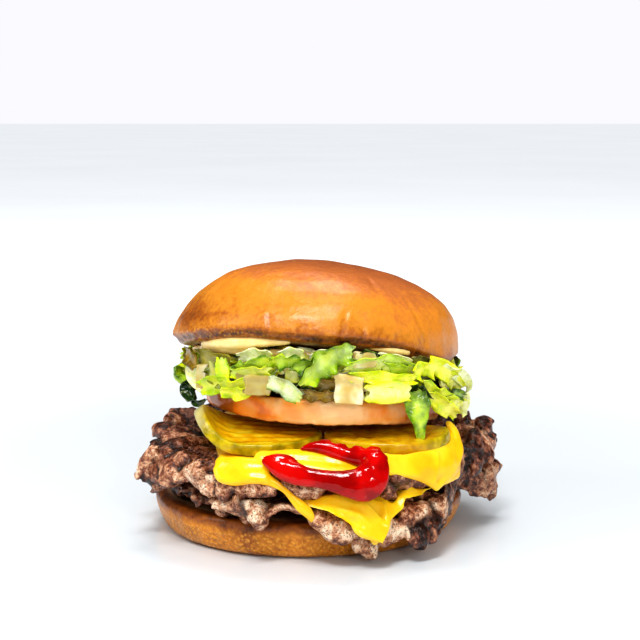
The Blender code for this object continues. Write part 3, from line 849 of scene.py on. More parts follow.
def stay_under(patty, outline, covers):
    """Flattens the meat back to its outline close to whatever lies on it."""
    shape = tree_of(outline)
    lying = [tree_of(cover) for cover in covers]
    points = points_of(patty)
    for i, point in enumerate(points):
        spot = Vector(point)
        gaps = [tree.find_nearest(spot, 3 * MM)[3] for tree in lying]
        gaps = [gap for gap in gaps if gap is not None]
        if not gaps:
            continue
        nearest, normal, _, _ = shape.find_nearest(spot)
        out = (spot - nearest).dot(normal)
        allowed = 0.3 * MM + 3 * MM * smooth((min(gaps) - 0.9 * MM) / (2.1 * MM))
        if out > allowed:
            points[i] = spot - normal * (out - allowed)
    move_to(patty, points)


# ---------------------------------------------------------------- cheese and ketchup


UPPER_MELT = [
    # the left lobe, with its thick lip, and the strand that runs down to the lower slice
    Stroke([(-27.5, -53, 33, 2.4), (-25.5, -55.5, 32, 3.8), (-20.5, -57.5, 31.6, 4.6),
           (-15, -59, 31.2, 3.8)], 0.46, (-0.3, -1, 0.5)),
    Stroke([(-28.3, -55, 31, 1.7), (-27, -57.2, 28.9, 1.8), (-22.5, -58.8, 28.3, 1.9),
           (-17.5, -60.2, 29.2, 1.8), (-13, -61, 29, 1.7)], 0.9),
    Stroke([(-14, -60, 30, 2.4), (-10, -61, 28, 1.7), (-7, -61.5, 26, 1.3), (-4.5, -61.5, 23.5, 1.5),
           (-1.5, -61.5, 20.5, 2.3), (1, -61.5, 18, 1.8), (2, -61.5, 15.5, 0.7)], 0.55),
    # what lies in the ketchup's loop, up to the pickles
    Stroke([(-14, -56, 35, 3), (-3.5, -56.5, 35, 3.4), (4, -57, 34.6, 3.4), (12, -57.5, 34, 3.2),
           (20, -56.5, 34, 3)], 0.5, (0, -1, 0.8)),
    Stroke([(-8, -59, 32.5, 2.4), (2.5, -60.5, 32, 2.6), (12, -61.5, 31, 2.6), (20, -60.5, 31, 2.6)],
           0.5, (0, -1, 0.5)),
    # the right part down to its corner, and up beside the pickle
    Stroke([(22, -57, 34.5, 3), (28, -55.5, 33, 3.6), (34, -52.5, 32, 4.2), (40, -48, 31, 5),
           (45, -42.5, 32, 5.4), (47.5, -37, 34, 4.6)], 0.36, (0.5, -1, 0.4)),
    Stroke([(24.5, -58, 31.5, 1.6), (29, -56.5, 30.2, 1.6), (34, -54, 29, 1.7),
           (38.5, -50.5, 26.5, 1.8), (42, -48, 23, 1.3)], 0.8, (0.5, -1, 0.2)),
    Stroke([(42, -48, 23, 1.2), (45.5, -44.5, 26.5, 1.8), (49, -40, 29, 1.8), (50.5, -36, 33, 1.8),
           (49.5, -31, 37, 2), (47.5, -28, 40, 1.6)], 0.7, (0.8, -0.7, 0.2)),
    Stroke([(41, -49.5, 26, 1), (41.5, -48.5, 30, 1.2), (42, -46.5, 34, 1.2)], 0.9, (0.4, -1, 0.2)),
    Stroke([(48, -33, 35, 2.6), (45, -29, 37, 2.6)], 0.5, (0.8, -0.5, 0.5)),
]
LOWER_MELT = [
    Stroke([(0, -60.5, 19.5, 1.8), (5, -61, 21, 2.6), (9, -61.5, 21.8, 2.8), (13.5, -62, 21, 3.2),
           (17.5, -62.5, 19, 3.8), (20.5, -63, 15.5, 3.8), (21.5, -63, 12, 2.6),
           (21.5, -62.5, 9, 1.2)], 0.36, (0, -1, 0.35)),
    Stroke([(14, -60, 21, 3), (22, -59, 19, 3.4), (26.5, -57.5, 18, 3.2), (30, -55.5, 18, 2.2)],
           0.4, (0.2, -1, 0.4)),
    Stroke([(4, -63, 19, 0.9), (8.5, -63.2, 20, 1.2), (12.5, -63.8, 19.4, 1.4),
           (16.5, -64.3, 18.2, 1.4), (19.8, -64.6, 14.5, 1.3), (21.6, -64, 10.5, 1)], 0.8),
    Stroke([(21.8, -63, 9.5, 1.1), (24, -61.5, 12.5, 1.5), (27.5, -59.5, 15, 1.3),
           (30, -57, 17.5, 1.2)], 0.8, (0.3, -1, 0.2)),
    Stroke([(23, -60.5, 16, 2.4), (26, -59.5, 17, 1.8)], 0.6),
    # shreds of cheese between the patties
    Stroke([(28.5, -55.5, 19.5, 1.2), (30.5, -53, 22, 1.3), (33.5, -50.5, 22.8, 1.4),
           (36, -49, 22.2, 1)], 0.7),
    Stroke([(31, -51, 25.5, 1), (32.5, -50, 24, 1.2), (33.5, -50, 21, 1.2)], 0.7),
    Stroke([(38, -47.5, 22.4, 0.8), (40.5, -46, 22.8, 0.9)], 0.7),
]


def make_cheese(node, name, drips, cheese):
    slice_ = copy_of(node, name)
    modify(slice_, "DISPLACE", strength=cheese.swell, mid_level=0.0)
    melted = join([slice_, strokes("drips", drips)], name)
    remesh(melted, MELT_VOXEL)
    soften(melted, 22)
    points = points_of(melted)
    if node == "cheese_lower":
        # its corner hangs down as a tongue that narrows
        half = np.interp(points[:, 2] / MM, [9, 12.5, 16, 18, 20, 22], [3.0, 4.8, 6.4, 9, 14, 40]) * MM
        aside = points[:, 0] - 20.5 * MM
        over = np.clip(np.abs(aside) - half, 0, None) * (points[:, 1] < -52 * MM)
        points[:, 0] -= np.sign(aside) * over * 0.9
    else:
        points[:, 0] += 0.85 * np.clip(-33 * MM - points[:, 0], 0, None) * (points[:, 1] > -50 * MM)
        sag = smooth((around(points)[0] / MM - 33) / 14) * (points[:, 1] > -20 * MM)
        points[:, 2] -= 2.0 * MM * sag * np.clip((points[:, 1] / MM + 20) / 20, 0, 1)
    move_to(melted, points)
    soften(melted, 4)
    thin_out(melted, lambda p: around(p)[0] < 36 * MM)
    raise_surface(melted, noise_at(points_of(melted), 150) * 0.4 * MM)
    # The relief drives painted shade in folds and painted highlights on crests.
    keep_value(melted, "relief", relief(melted, 40))
    return done(melted, "cheese", shared(cheese_finish, cheese), node)


KETCHUP_STROKES = [
    Stroke([(-13.5, -61, 35, 0.9), (-11, -61.6, 34.4, 2.2), (-8, -62.4, 33.2, 3.4),
           (-4, -63.6, 32, 3.8), (0, -64.4, 31, 3.3), (5, -65.2, 30.4, 3.2), (10, -65.6, 29.6, 3.8),
           (14, -65.6, 29, 4.8), (18, -65.2, 28.8, 5.8), (20.5, -64.4, 31, 5.6), (22, -62.5, 34, 4.2)],
           0.5),
    Stroke([(-1.5, -56.4, 38, 0.8), (2, -56.4, 38.7, 1.8), (6, -56.8, 38.4, 2.4),
           (10, -57.6, 37.2, 2.6), (14, -58.6, 36.2, 2.6), (18, -59.8, 35.8, 3.2),
           (21.5, -60.6, 35.8, 3.6)], 0.6),
    Stroke([(-12.5, -60.8, 35.4, 1.6), (-9, -61, 35.4, 2.4), (-5.5, -61.2, 34.6, 2.6),
           (-4, -62.4, 33, 2.6)], 0.6),
    Stroke([(5, -55.6, 40.2, 1), (7, -55.8, 40.1, 1)], 1),
    Stroke([(10.5, -56.6, 39.1, 1), (12, -56.8, 38.9, 1)], 1),
    Stroke([(15.5, -57.8, 38.5, 1.2), (17, -58, 38.3, 1.2)], 1),
    Stroke([(20.5, -58.6, 38.4, 1.3), (22.5, -58.8, 38.1, 1.3)], 1),
    Stroke([(19, -59, 36.5, 2.4), (24, -60, 35.5, 2)], 0.8),
]


def make_ketchup(sauce):
    bead = strokes("ketchup_loop", KETCHUP_STROKES)
    remesh(bead, 0.4 * MM)
    soften(bead, 16)
    left = np.clip((2 * MM - points_of(bead)[:, 0]) / (14 * MM), 0, 0.8)
    keep_value(bead, "thin", np.clip(left - relief(bead, 60) - 0.2, 0, 1))
    return done(bead, "ketchup", ketchup_finish(sauce), "ketchup")


# ---------------------------------------------------------------- pickles and tomato


def left_pickle_middle(x, y):
    """Rises to the back on the left, where its end curls up past the tomato."""
    curl = max(0.0, (-22 - x) / 13) ** 2.2
    rise = 0.02 + 0.075 * smooth(-x / 25)
    return PICKLE_SEAT + rise * (y + 50) + 7.5 * curl


def right_pickle_middle(x, y):
    """Lies level, with its right end lifted a little past the tomato's side."""
    return PICKLE_SEAT + 2.5 * max(0.0, (x - 38) / 12) ** 1.5


def make_pickle(node, name, centre, size, ridges, middle, depth, pickle):
    """A crinkle-cut slice: an oval whose ridges run in the direction given (degrees). Sizes are millimetres,
    half across its ridges and half along them."""
    deselect()
    bpy.ops.mesh.primitive_grid_add(x_subdivisions=110, y_subdivisions=80, size=2.0)
    slice_ = bpy.context.object
    slice_.name = name
    turn = math.radians(ridges - 90)
    points = []
    for u, v, _ in points_of(slice_).tolist():
        x = u * math.sqrt(1 - 0.5 * v * v) * size[0]
        y = v * math.sqrt(1 - 0.5 * u * u) * size[1]
        across = x * math.cos(turn) - y * math.sin(turn) + centre[0]
        back = x * math.sin(turn) + y * math.cos(turn) + centre[1]
        flat = 1 - 0.7 * smooth((math.hypot(x / size[0], y / size[1]) - 0.7) / 0.25)
        wave = depth * flat * pickle.ridge_depth / MM * math.sin(2 * math.pi * x / RIDGE_SPACING)
        points.append((across * MM, back * MM, (middle(across, back) + wave) * MM))
    move_to(slice_, points)
    modify(slice_, "SOLIDIFY", thickness=PICKLE_THICKNESS, offset=0.0)
    remesh(slice_, MELT_VOXEL)
    soften(slice_, 12)
    points = points_of(slice_)
    x, y = points[:, 0] / MM - centre[0], points[:, 1] / MM - centre[1]
    across = (x * math.cos(turn) + y * math.sin(turn)) / size[0]
    along = (-x * math.sin(turn) + y * math.cos(turn)) / size[1]
    out = np.hypot(across, along)
    green = 1.0 if node == "pickle_left" else 0.3 + 0.7 * np.clip(x / 8 - 1, 0, 1)
    rind = np.clip((out - pickle.rind_start) / 0.07, 0, 1) * green
    end = np.clip((-27 - points[:, 0] / MM) / 6, 0, 1) + np.clip((points[:, 0] / MM - 38) / 8, 0, 1)
    keep_value(slice_, "rind", np.maximum(rind, 0.75 * end))
    # Drives painted shade in the crinkles' valleys.
    keep_value(slice_, "valley", -depth * np.sin(2 * math.pi * across * size[0] / RIDGE_SPACING))
    keep_value(slice_, "pale", np.clip((-33 - points[:, 0] / MM) / 2.5, 0, 1))
    return done(slice_, "pickle", shared(pickle_finish, pickle), node)


def make_tomato(tomato):
    slice_ = copy_of("tomato_slice", "tomato")
    remesh(slice_, 0.7 * MM)
    soften(slice_, 10)
    points = points_of(slice_)
    low = 42.8 * MM - 0.03 * points[:, 0] - 0.10 * points[:, 1] - points[:, 2]
    out = np.hypot(points[:, 0] - 5 * MM, points[:, 1] + 5 * MM)
    side = np.clip((out - 37.6 * MM) / (1.5 * MM), 0, 1)
    below = np.clip(low / (4 * MM) - 0.55, 0, 1) * 2.2
    torn = smooth((low - 1.5 * MM) / (2 * MM)) * noise_at(points, 420)
    raise_surface(slice_, noise_at(points, 120) * 0.4 * MM + torn * 0.4 * MM)
    keep_value(slice_, "skin", side)
    keep_value(slice_, "pale", np.clip(below, 0, 1))
    # Painted shade and light: 1 in the middle of the front, 0 towards both ends.
    keep_value(slice_, "tone", np.clip(1 - abs(points[:, 0] - 8 * MM) / (34 * MM), 0, 1))
    return done(slice_, "tomato", tomato_finish(tomato), "tomato_slice")


# ---------------------------------------------------------------- salad and spread


def lid_seat(x, y):
    """Height of the lid's cut face over a point."""
    spot = LID_LEAN @ Vector((0, 0, 1))
    return LID_CENTRE.z - (spot.x * (x - LID_CENTRE.x) + spot.y * (y - LID_CENTRE.y)) / spot.z


def leaf_blank(name, along, across):
    """A flat leaf to bend: 2 long, 2 wide and 1 thick."""
    deselect()
    bpy.ops.mesh.primitive_grid_add(x_subdivisions=along, y_subdivisions=across, size=2.0)
    blank = bpy.context.object
    blank.name = name
    modify(blank, "SOLIDIFY", thickness=1.0, offset=0.0)
    return blank


# One shred of lettuce. Its middle line runs through the path's points (mm), with its width lying towards side
# at its start and end. Then half widths (mm) along it, its tint from dark green at 0 to pale yellow at 1, how
# white its rib is, how far it has turned olive (from wilting, and as painted shade on the far-left front
# shreds), the ruffles' height (mm) and number, how far its sides curl (mm) and its thickness (mm).
Shred = namedtuple("Shred", "path side widths tint rib wilt ruffle cup thick",
                   defaults=((0.8, 2.2), 0.8, 0.5))


def bent(blank, shred, seed):
    """The blank's points bent to one shred's shape, and its tint, rib and grain at each point."""
    path = [Vector(p) for p in shred.path]
    sides = [Vector(p).normalized() for p in shred.side]
    widths = [Vector((w, 0, 0)) for w in shred.widths]
    long = sum((b - a).length for a, b in zip(path, path[1:]))
    rows = []
    for u, v, t in points_of(blank).tolist():
        share = 0.5 + 0.5 * u
        tangent = (on_line(path, min(1, share + 0.04)) - on_line(path, max(0, share - 0.04))).normalized()
        side = sides[0].lerp(sides[-1], share)
        side = (side - tangent * side.dot(tangent)).normalized()
        normal = tangent.cross(side)
        edge = noise.noise(Vector((share * long / 5, v * 0.8 + 3, seed)))
        teeth = noise.noise(Vector((share * long / 1.6, v * 0.5, seed + 7)))
        ragged = 1 + (0.22 * edge + 0.06 * teeth) * abs(v) ** 2
        end_cut = noise.noise(Vector((v * 1.8, u, seed + 9))) * 2.4 * abs(u) ** 4
        wave = math.sin(2 * math.pi * (shred.ruffle[1] * share + 0.23 * seed)) * v * abs(v)
        wave += 0.6 * math.sin(2 * math.pi * (shred.ruffle[1] * 1.7 * share + 0.41 * seed)) * v * v
        blister = noise.noise(Vector((share * long / 4, v * 1.6, seed + 5)))
        lift = shred.ruffle[0] * (wave + 0.35 * blister) + shred.cup * v * v
        spot = on_line(path, share) + side * (on_line(widths, share).x * v * ragged)
        spot += normal * (lift + t * shred.thick) + tangent * end_cut
        tint = shred.tint + 0.16 * (share - 0.5) + 0.22 * (0.45 - abs(v)) + 0.26 * blister
        reach = 1.25 + 0.9 * smooth((shred.rib - 0.5) / 0.4)
        rib = shred.rib * smooth(reach - abs(v - 0.15) / 0.8) * (1 - 0.35 * share)
        rows.append((*(spot * MM), tint, rib, share * long, v))
    return np.array(rows)


def shreds(name, blank, specs, first_seed):
    """All the shreds of one kind as one mesh."""
    rows = np.concatenate([bent(blank, spec, first_seed + i * 1.37) for i, spec in enumerate(specs)])
    piece = tiled(name, blank, rows[:, :3])
    for value, column in zip(("tint", "rib", "along", "across"), rows.T[3:]):
        keep_value(piece, value, column)
    keep_value(piece, "wilt", np.repeat([spec.wilt for spec in specs], len(blank.data.vertices)))
    return piece


UP = (0, -0.5, 1)
FRONT_SHREDS = [
    # far left: olive ends, whose olive is painted shade, a pale one under them and a small dark curl
    Shred([(-41, -17.5, 63), (-39.5, -22, 61.5), (-37, -26, 60)], [(0.3, -0.4, 1)], (1.9, 3.2, 2.8),
          0.42, 0, 1, (0.4, 1.4)),
    Shred([(-36.5, -24, 62), (-30.5, -31, 62.5), (-24.5, -36.5, 61.5)], [UP], (3.2, 3.8, 3.2),
          0.5, 0.1, 0.8, (0.6, 1.2)),
    Shred([(-38.5, -21, 60), (-38.5, -21.5, 56), (-34.5, -27, 52.5)], [(0.7, -0.6, 0.2)], (2, 3, 2.2),
          0.9, 0.9, 0.4, (0.3, 1)),
    Shred([(-38.6, -20, 53.6), (-39.6, -19, 50.4), (-38, -22, 47.2)], [(1, -0.5, 0.15),
          (0.8, -0.6, 0.5)], (1.7, 2.9, 2.3), -0.12, 0, 0, (0.2, 1), 1.9, 0.8),
    Shred([(-39, -20.5, 47.4), (-36.5, -25, 46.6), (-33.5, -29, 48.6)], [UP], (1, 1.1, 0.6),
          -0.12, 0, 0, (0.2, 1)),
    # left: a rib that stands, the bright block across its foot and what is behind it
    Shred([(-32, -32, 60.5), (-30, -35, 58), (-27, -37.5, 56)], [(0.6, -0.4, 0.8)], (2.8, 3.4, 2.8),
          0.45, 0.2, 0.6),
    Shred([(-27.5, -38.5, 64), (-27, -39.5, 61), (-26.5, -39.5, 57)], [(1, -0.5, 0)], (1.8, 2.3, 2),
          0.58, 0.2, 0, (0.3, 1), 0.9, 1),
    Shred([(-35, -30, 53), (-29, -36.5, 55.5), (-23.5, -41.5, 55.5), (-17.5, -45, 58.5)], [UP],
          (2.4, 3.6, 3.4, 2), 0.72, 0.1, 0, (0.9, 2.4), 1.4, 0.6),
    Shred([(-28, -39, 53.5), (-22, -43, 53.5), (-17, -45, 55.5)], [UP], (1.6, 2.4, 1.6),
          0.8, 0.1, 0, (0.6, 2)),
    Shred([(-22, -38.5, 64.5), (-16.5, -42, 65.8), (-11.5, -44.5, 66)], [UP], (1.8, 2.7, 2.2),
          0.85, 1, 0, (0.5, 1.5)),
    Shred([(-23, -41, 61.5), (-16.5, -44.5, 63), (-10, -47, 65.5)], [(0, -0.7, 0.8)], (2, 3.2, 2.6),
          0.5, 0.15, 0, (0.9, 2)),
    Shred([(-24.5, -40.5, 60), (-18, -44, 60.5), (-12, -45.8, 61.5)], [UP], (1.6, 2.6, 1.8),
          0.66, 0.45, 0, (0.6, 2)),
    Shred([(-11.5, -45.5, 64), (-7, -47, 64.8), (-2, -48, 64.5)], [UP], (2, 2.8, 2.4),
          0.4, 0.1, 0, (1, 2)),
    Shred([(-8, -46, 67), (-4.5, -46.5, 67.6), (-1, -47.2, 67)], [UP], (1.4, 2, 1.6),
          0.9, 0.95, 0, (0.4, 1.5)),
    # middle: a small leaf with a white rib on the tomato, and the big ruffled one over it
    Shred([(-12.5, -46, 58), (-7.5, -48, 56.5), (-2, -49, 52.5)], [(0.3, -0.3, 1)], (1.8, 3, 2.2),
          0.36, 0.7, 0, (0.7, 1.6), 0.8, 0.6),
    Shred([(15, -48, 68), (9, -49.5, 66.3), (3.5, -50, 62.8), (-1, -50, 58)], [(-0.55, -0.3, 0.8)],
          (2.6, 4.2, 4.2, 1.6), 0.42, 0.25, 0, (1.6, 2.6), -1.2),
    Shred([(-4.5, -48, 62.5), (2, -49, 64.5), (8, -48.6, 67)], [(-0.3, -0.5, 1)], (1.6, 2.8, 2.4),
          0.34, 0.05, 0, (1.3, 2.2)),
    Shred([(2, -47.5, 66.5), (5, -47.8, 67.5), (9, -47.5, 68)], [UP], (1.2, 1.8, 1.2),
          0.9, 0.95, 0, (0.3, 1)),
    Shred([(2, -46, 58), (6, -47, 57), (11, -47, 58)], [(0, -0.4, 1)], (2, 2.8, 2.2),
          0.4, 0.1, 1, (0.8, 2)),
    Shred([(-1, -46, 54.2), (4, -47, 53.4), (9, -47, 54)], [(0, -0.4, 1)], (1.6, 2, 1.6),
          0.5, 0.1, 1.4, (0.7, 2)),
    # right of the middle: pale bands under the lid, the thick rib on the tomato
    Shred([(12.5, -48, 62), (18.5, -47, 63.5), (27, -44, 63), (34.5, -39.5, 60.5)], [UP],
          (2.4, 3.6, 3.6, 2.6), 0.62, 0.5, 0, (0.9, 2), 1.2),
    Shred([(13.5, -49, 60), (22, -47.5, 59.5), (29.5, -44.5, 58), (35, -41, 58)], [(0, -0.2, 1)],
          (1.5, 2.3, 2.2, 1.6), 0.84, 0.05, 0, (0.6, 2), 0.8, 0.8),
    Shred([(17, -46.5, 66.6), (19.5, -46.2, 66.8), (22.5, -45.5, 66)], [UP], (1.4, 2, 1.4),
          0.08, 0, 0, (0.4, 1.5)),
    Shred([(22, -44.5, 65.3), (27.5, -42, 64.8), (33.5, -38.5, 62.5)], [UP], (1.7, 2.3, 1.8),
          0.95, 0.95, 0, (0.5, 1.5)),
    Shred([(24, -45, 63.5), (29, -43.2, 61.6), (33, -40.8, 61)], [UP], (1.4, 2.3, 1.8),
          0.48, 0.1, 0, (0.9, 2)),
    Shred([(19, -48, 54), (26, -45.5, 54.3), (33.5, -42, 54)], [(0, -0.1, 1)], (3, 3.5, 3.5),
          0.88, 0.45, 0, (0.3, 1.4), 0.3, 2.6),
    # the dark shred and the end that hangs over the tomato
    Shred([(31.5, -41, 56.8), (35, -39.5, 53.5), (39, -36.5, 50)], [(0.4, -0.3, 0.8)], (1.6, 3.2, 2.2),
          -0.05, 0, 0, (0.8, 2)),
    Shred([(35.5, -40.5, 53.5), (36, -41.8, 48), (36.5, -42, 42.5), (36.5, -41.8, 36.5)],
          [(1, 0.2, 0)], (3.4, 4.2, 2.2, 0.6), 0.34, 0.1, 0, (0.9, 1.8), 1),
    # right: yellow frills that spill out under the lid, and their pale edges
    Shred([(34.5, -38, 64), (38.5, -35, 62), (43, -30, 59.5)], [UP], (1.8, 2.4, 1.8), 0.35, 0.1, 0.75),
    Shred([(34.5, -41, 59.5), (39, -37.5, 61), (44, -33, 60), (49, -26, 56)], [UP],
          (2.4, 3.4, 3.4, 2.6), 0.84, 0.05, 0, (1.5, 3)),
    Shred([(38, -38.5, 56), (42.5, -35, 51.5), (47.5, -28, 47), (52.5, -18, 45)], [(0.2, -0.5, 1)],
          (2.2, 3.6, 3.4, 2.2), 0.78, 0.1, 0, (1.1, 2.6), 1),
    Shred([(45, -32.5, 60.5), (50.5, -25, 56.5), (54.5, -14, 50.5), (55.5, -12, 44.5),
          (52, -22, 41.8)], [(0.5, -0.4, 0.8), (-0.6, -0.6, 0.1)], (1.8, 2.4, 2.3, 2.4, 1.4),
          0.95, 0.85, 0, (0.8, 2.4)),
    Shred([(40, -37.5, 52.5), (44.5, -33.5, 48), (50, -25.5, 42.5)], [(0.3, -0.6, 0.9)], (2, 3.2, 2),
          0.82, 0.15, 0, (0.9, 2.2)),
    Shred([(45, -30, 58), (49, -24.5, 54.5), (52, -19, 50)], [(0.2, -0.6, 1)], (2, 2.8, 2),
          0.86, 0.1, 0, (1.2, 2.2)),
    Shred([(45.5, -32, 49.5), (49.5, -27, 50.3), (53, -21, 48)], [UP], (1.2, 1.8, 1.2),
          0.25, 0.05, 0, (0.6, 2)),
]


def loose_shreds(count, rng):
    """Shreds all round the heap, from the tomato's top to the lid. At the front, a backing."""
    made = []
    for i in range(count):
        turn = 360 * (i + rng.random()) / count
        way = Vector((math.cos(math.radians(turn)), math.sin(math.radians(turn)), 0))
        front = 190 < turn < 345
        out = 38.5 + rng.uniform(-2.0, 1.5) if front else 44 + rng.uniform(-4.0, 3.5)
        x, y = 4 + out * way.x, out * way.y - 1.5
        low = 48.2 - 0.03 * x - 0.10 * y
        high = lid_seat(x * MM, y * MM) / MM - 0.5
        level = rng.random()
        z = low + (high - low) * (0.12 + 0.76 * level)
        long = rng.uniform(4.5, 10)
        tangent = Vector((-way.y, way.x, rng.uniform(-0.6, 0.6))).normalized()
        middle = Vector((x, y, z))
        drop = Vector((0, 0, -rng.uniform(0, 3.5) if level < 0.35 and not front else 0))
        bow = way * rng.uniform(0.5, 3.5)
        path = [middle - tangent * long, middle + bow, middle + tangent * long * rng.uniform(0.6, 1) + drop]
        side = way * rng.uniform(-0.4, 0.9) + Vector((0, 0, 1))
        half = rng.uniform(1.8, 3.8)
        pale = rng.random() > 0.72
        tint = 0.9 if pale else rng.choice((0.1, 0.3, 0.42, 0.6, 0.7, 0.82))
        wilt = 0.8 if rng.random() > 0.9 else 0.0
        ruffle = (rng.uniform(0.5, 1.6), rng.uniform(1.2, 2.6))
        widths = (half * 0.7, half, half * 0.6)
        thick = 1.1 if pale else 0.5
        rib = rng.random() ** 2
        made.append(Shred(path, [side], widths, tint, rib, wilt, ruffle, rng.uniform(-1.5, 1.5), thick))
    return made


def make_core(salad):
    core = copy_of("salad", "salad_core")
    remesh(core, 1.0 * MM)
    points = points_of(core)
    points[:, :2] *= 0.84
    points[:, 2] -= 1.2 * MM
    move_to(core, points)
    side = 1 - abs(normals_of(core)[:, 2])
    raise_surface(core, noise_at(points_of(core), 160) * 2.4 * MM * side)
    thin_out(core, lambda p: around(p)[0] < 33 * MM)
    return done(core, "salad", core_finish(salad), "salad")


def make_lettuce(salad):
    fine, plain = leaf_blank("fine_blank", 36, 12), leaf_blank("plain_blank", 18, 8)
    front = shreds("lettuce_front", fine, FRONT_SHREDS, 1.0)
    done(front, "salad", shared(leaf_finish, salad))
    loose = shreds("lettuce_loose", plain, loose_shreds(salad.shreds, random.Random(5)), 100.0)
    done(loose, "salad", shared(leaf_finish, salad))
    bpy.data.objects.remove(fine)
    bpy.data.objects.remove(plain)


def onion_chunk(spot, size, turn, seed, olive=0.0):
    """A curved chunk of onion; olive is how far its colour turns olive-brown."""
    deselect()
    bpy.ops.mesh.primitive_cube_add(size=2.0)
    chunk = bpy.context.object
    modify(chunk, "BEVEL", width=0.22, segments=2)
    modify(chunk, "SUBSURF", levels=3, render_levels=3)
    lie = Matrix.Rotation(math.radians(turn), 3, "Z")
    points = []
    for point in points_of(chunk):
        bend = Vector(point)
        bend.y -= 0.28 * bend.x * bend.x - 0.12
        bend.y += 0.07 * math.sin(bend.z * 6.5 + 0.8 * bend.x)
        bend += noise.noise_vector(Vector(point) * 0.9 + Vector((seed, 0, 0))) * 0.26
        points.append((lie @ Vector([b * s for b, s in zip(bend, size)]) + Vector(spot)) * MM)
    move_to(chunk, points)
    keep_value(chunk, "olive", [olive] * len(points))
    return chunk


def make_onion(salad):
    chunks = [
        onion_chunk((-16.0, -45.0, 56.4), (4.4, 2.0, 3.2), 12, 1, 0.55),
        onion_chunk((13.8, -47.2, 55.8), (4.8, 2.6, 4.8), -8, 2),
        onion_chunk((18.5, -46.6, 65.0), (3.6, 1.1, 2.6), 12, 3),
        onion_chunk((-34.8, -26.5, 55.5), (2.4, 1.2, 4.4), -40, 4, 0.4),
        onion_chunk((-20.0, -41.5, 57.5), (3.0, 1.4, 2.4), -20, 5, 0.6),
        onion_chunk((46.0, 14.0, 55.0), (3.6, 1.6, 3.0), 105, 6),
        onion_chunk((-38.0, 16.0, 54.0), (3.8, 1.6, 3.0), 70, 7),
        onion_chunk((8.0, 41.0, 50.0), (4.2, 1.6, 2.6), 8, 8),
    ]
    return done(join(chunks, "onion_chunks"), "salad", onion_finish(salad))


SPREAD_STROKES = [
    Stroke([(-34, -24, 66.8, 2), (-29, -32.5, 68.2, 2.2), (-22, -38, 69.2, 2.3),
           (-14.5, -41.5, 69.9, 1.9), (-6, -43.5, 70.4, 1.3)], 0.9),
    Stroke([(21, -42, 68.3, 1.2), (27, -40, 67.3, 1.7), (33, -36.5, 65.8, 1.3)], 0.9),
]


def make_spread(sauce):
    layer = join([copy_of("spread", "mayonnaise"), strokes("edges", SPREAD_STROKES)], "mayonnaise")
    remesh(layer, 0.6 * MM)
    soften(layer, 6)
    return done(layer, "spread", spread_finish(sauce), "spread")


# ---------------------------------------------------------------- stage


def make_world(studio):
    world = bpy.data.worlds.new("studio")
    bpy.context.scene.world = world
    world.use_nodes = True
    tree = world.node_tree
    seen = tree.nodes["Background"]
    seen.inputs["Color"].default_value = tuple(studio.backdrop)
    path = tree.nodes.new("ShaderNodeLightPath")

    def glow(strength, ray, behind):
        """A white glow of that strength for one kind of ray, and the shader behind it for the others."""
        light = tree.nodes.new("ShaderNodeBackground")
        light.inputs["Strength"].default_value = strength
        light.inputs["Color"].default_value = (1.0, 1.0, 1.0, 1.0)
        either = tree.nodes.new("ShaderNodeMixShader")
        tree.links.new(path.outputs[ray], either.inputs["Fac"])
        tree.links.new(behind, either.inputs[1])
        tree.links.new(light.outputs["Background"], either.inputs[2])
        return either.outputs["Shader"]

    lit = glow(studio.fill, "Is Diffuse Ray", seen.outputs["Background"])
    lit = glow(0.05, "Is Glossy Ray", lit)
    tree.links.new(lit, tree.nodes["World Output"].inputs["Surface"])


def softbox(name, azimuth, elevation, away, size, watts):
    """A soft lamp that far from the middle of the object; azimuth 0 is in front, and 90 on the right."""
    lamp = bpy.data.lights.new(name, "AREA")
    lamp.shape = "RECTANGLE"
    lamp.size, lamp.size_y = size
    lamp.energy = watts
    turn, lift = math.radians(azimuth), math.radians(elevation)
    way = Vector((math.sin(turn) * math.cos(lift), -math.cos(turn) * math.cos(lift), math.sin(lift)))
    holder = bpy.data.objects.new(name, lamp)
    holder.location = Vector((0, 0, 45 * MM)) + way * away
    holder.rotation_euler = (-way).to_track_quat("-Z", "Y").to_euler()
    bpy.context.scene.collection.objects.link(holder)


def make_stage(studio):
    deselect()
    bpy.ops.mesh.primitive_plane_add(size=20.0, location=(0, 0, 0))
    floor = bpy.context.object
    floor.name = "floor"
    white = Finish("floor", Roughness=0.16)
    white.set("Base Color", white.ramp(white.noise(0.4, 2), (0.3, tuple(studio.floor)), (0.7, "DADFE3")))
    close = white.ring(2.2)
    white.set("Specular IOR Level", white.levels(close, 0.0, 0.8, 0.0, 0.4))
    white.shader.inputs["Emission Color"].default_value = tuple(studio.backdrop)
    white.set("Emission Strength", white.levels(close, 0.1, 0.8, 0.28, 0.0))
    floor.data.materials.append(white.material)
    make_world(studio)
    softbox("key", -16, 56, LAMP_DISTANCE, (0.3, 0.2), studio.key)
    softbox("front", 16, 22, LAMP_DISTANCE, (0.12, 0.12), 2.2)
    softbox("side", -75, 35, LAMP_DISTANCE, (0.25, 0.25), 2.0)
    softbox("back", 176, 70, 1.3, (0.6, 0.34), 5.0)
    softbox("top", 4, 66, LAMP_DISTANCE, (0.26, 0.07), 2.4)
    lens = bpy.data.cameras.new("camera")
    lens.lens = 85
    lens.sensor_width = 36
    camera = bpy.data.objects.new("camera", lens)
    camera.location = CAMERA_PLACE
    pitch = math.radians(CAMERA_PITCH)
    aim = Vector((0, math.cos(pitch), -math.sin(pitch)))
    camera.rotation_euler = aim.to_track_quat("-Z", "Y").to_euler()
    bpy.context.scene.collection.objects.link(camera)
    bpy.context.scene.camera = camera
    bpy.context.scene.view_settings.view_transform = "Standard"
    bpy.context.scene.view_settings.look = "Medium High Contrast"


# ---------------------------------------------------------------- the add-on


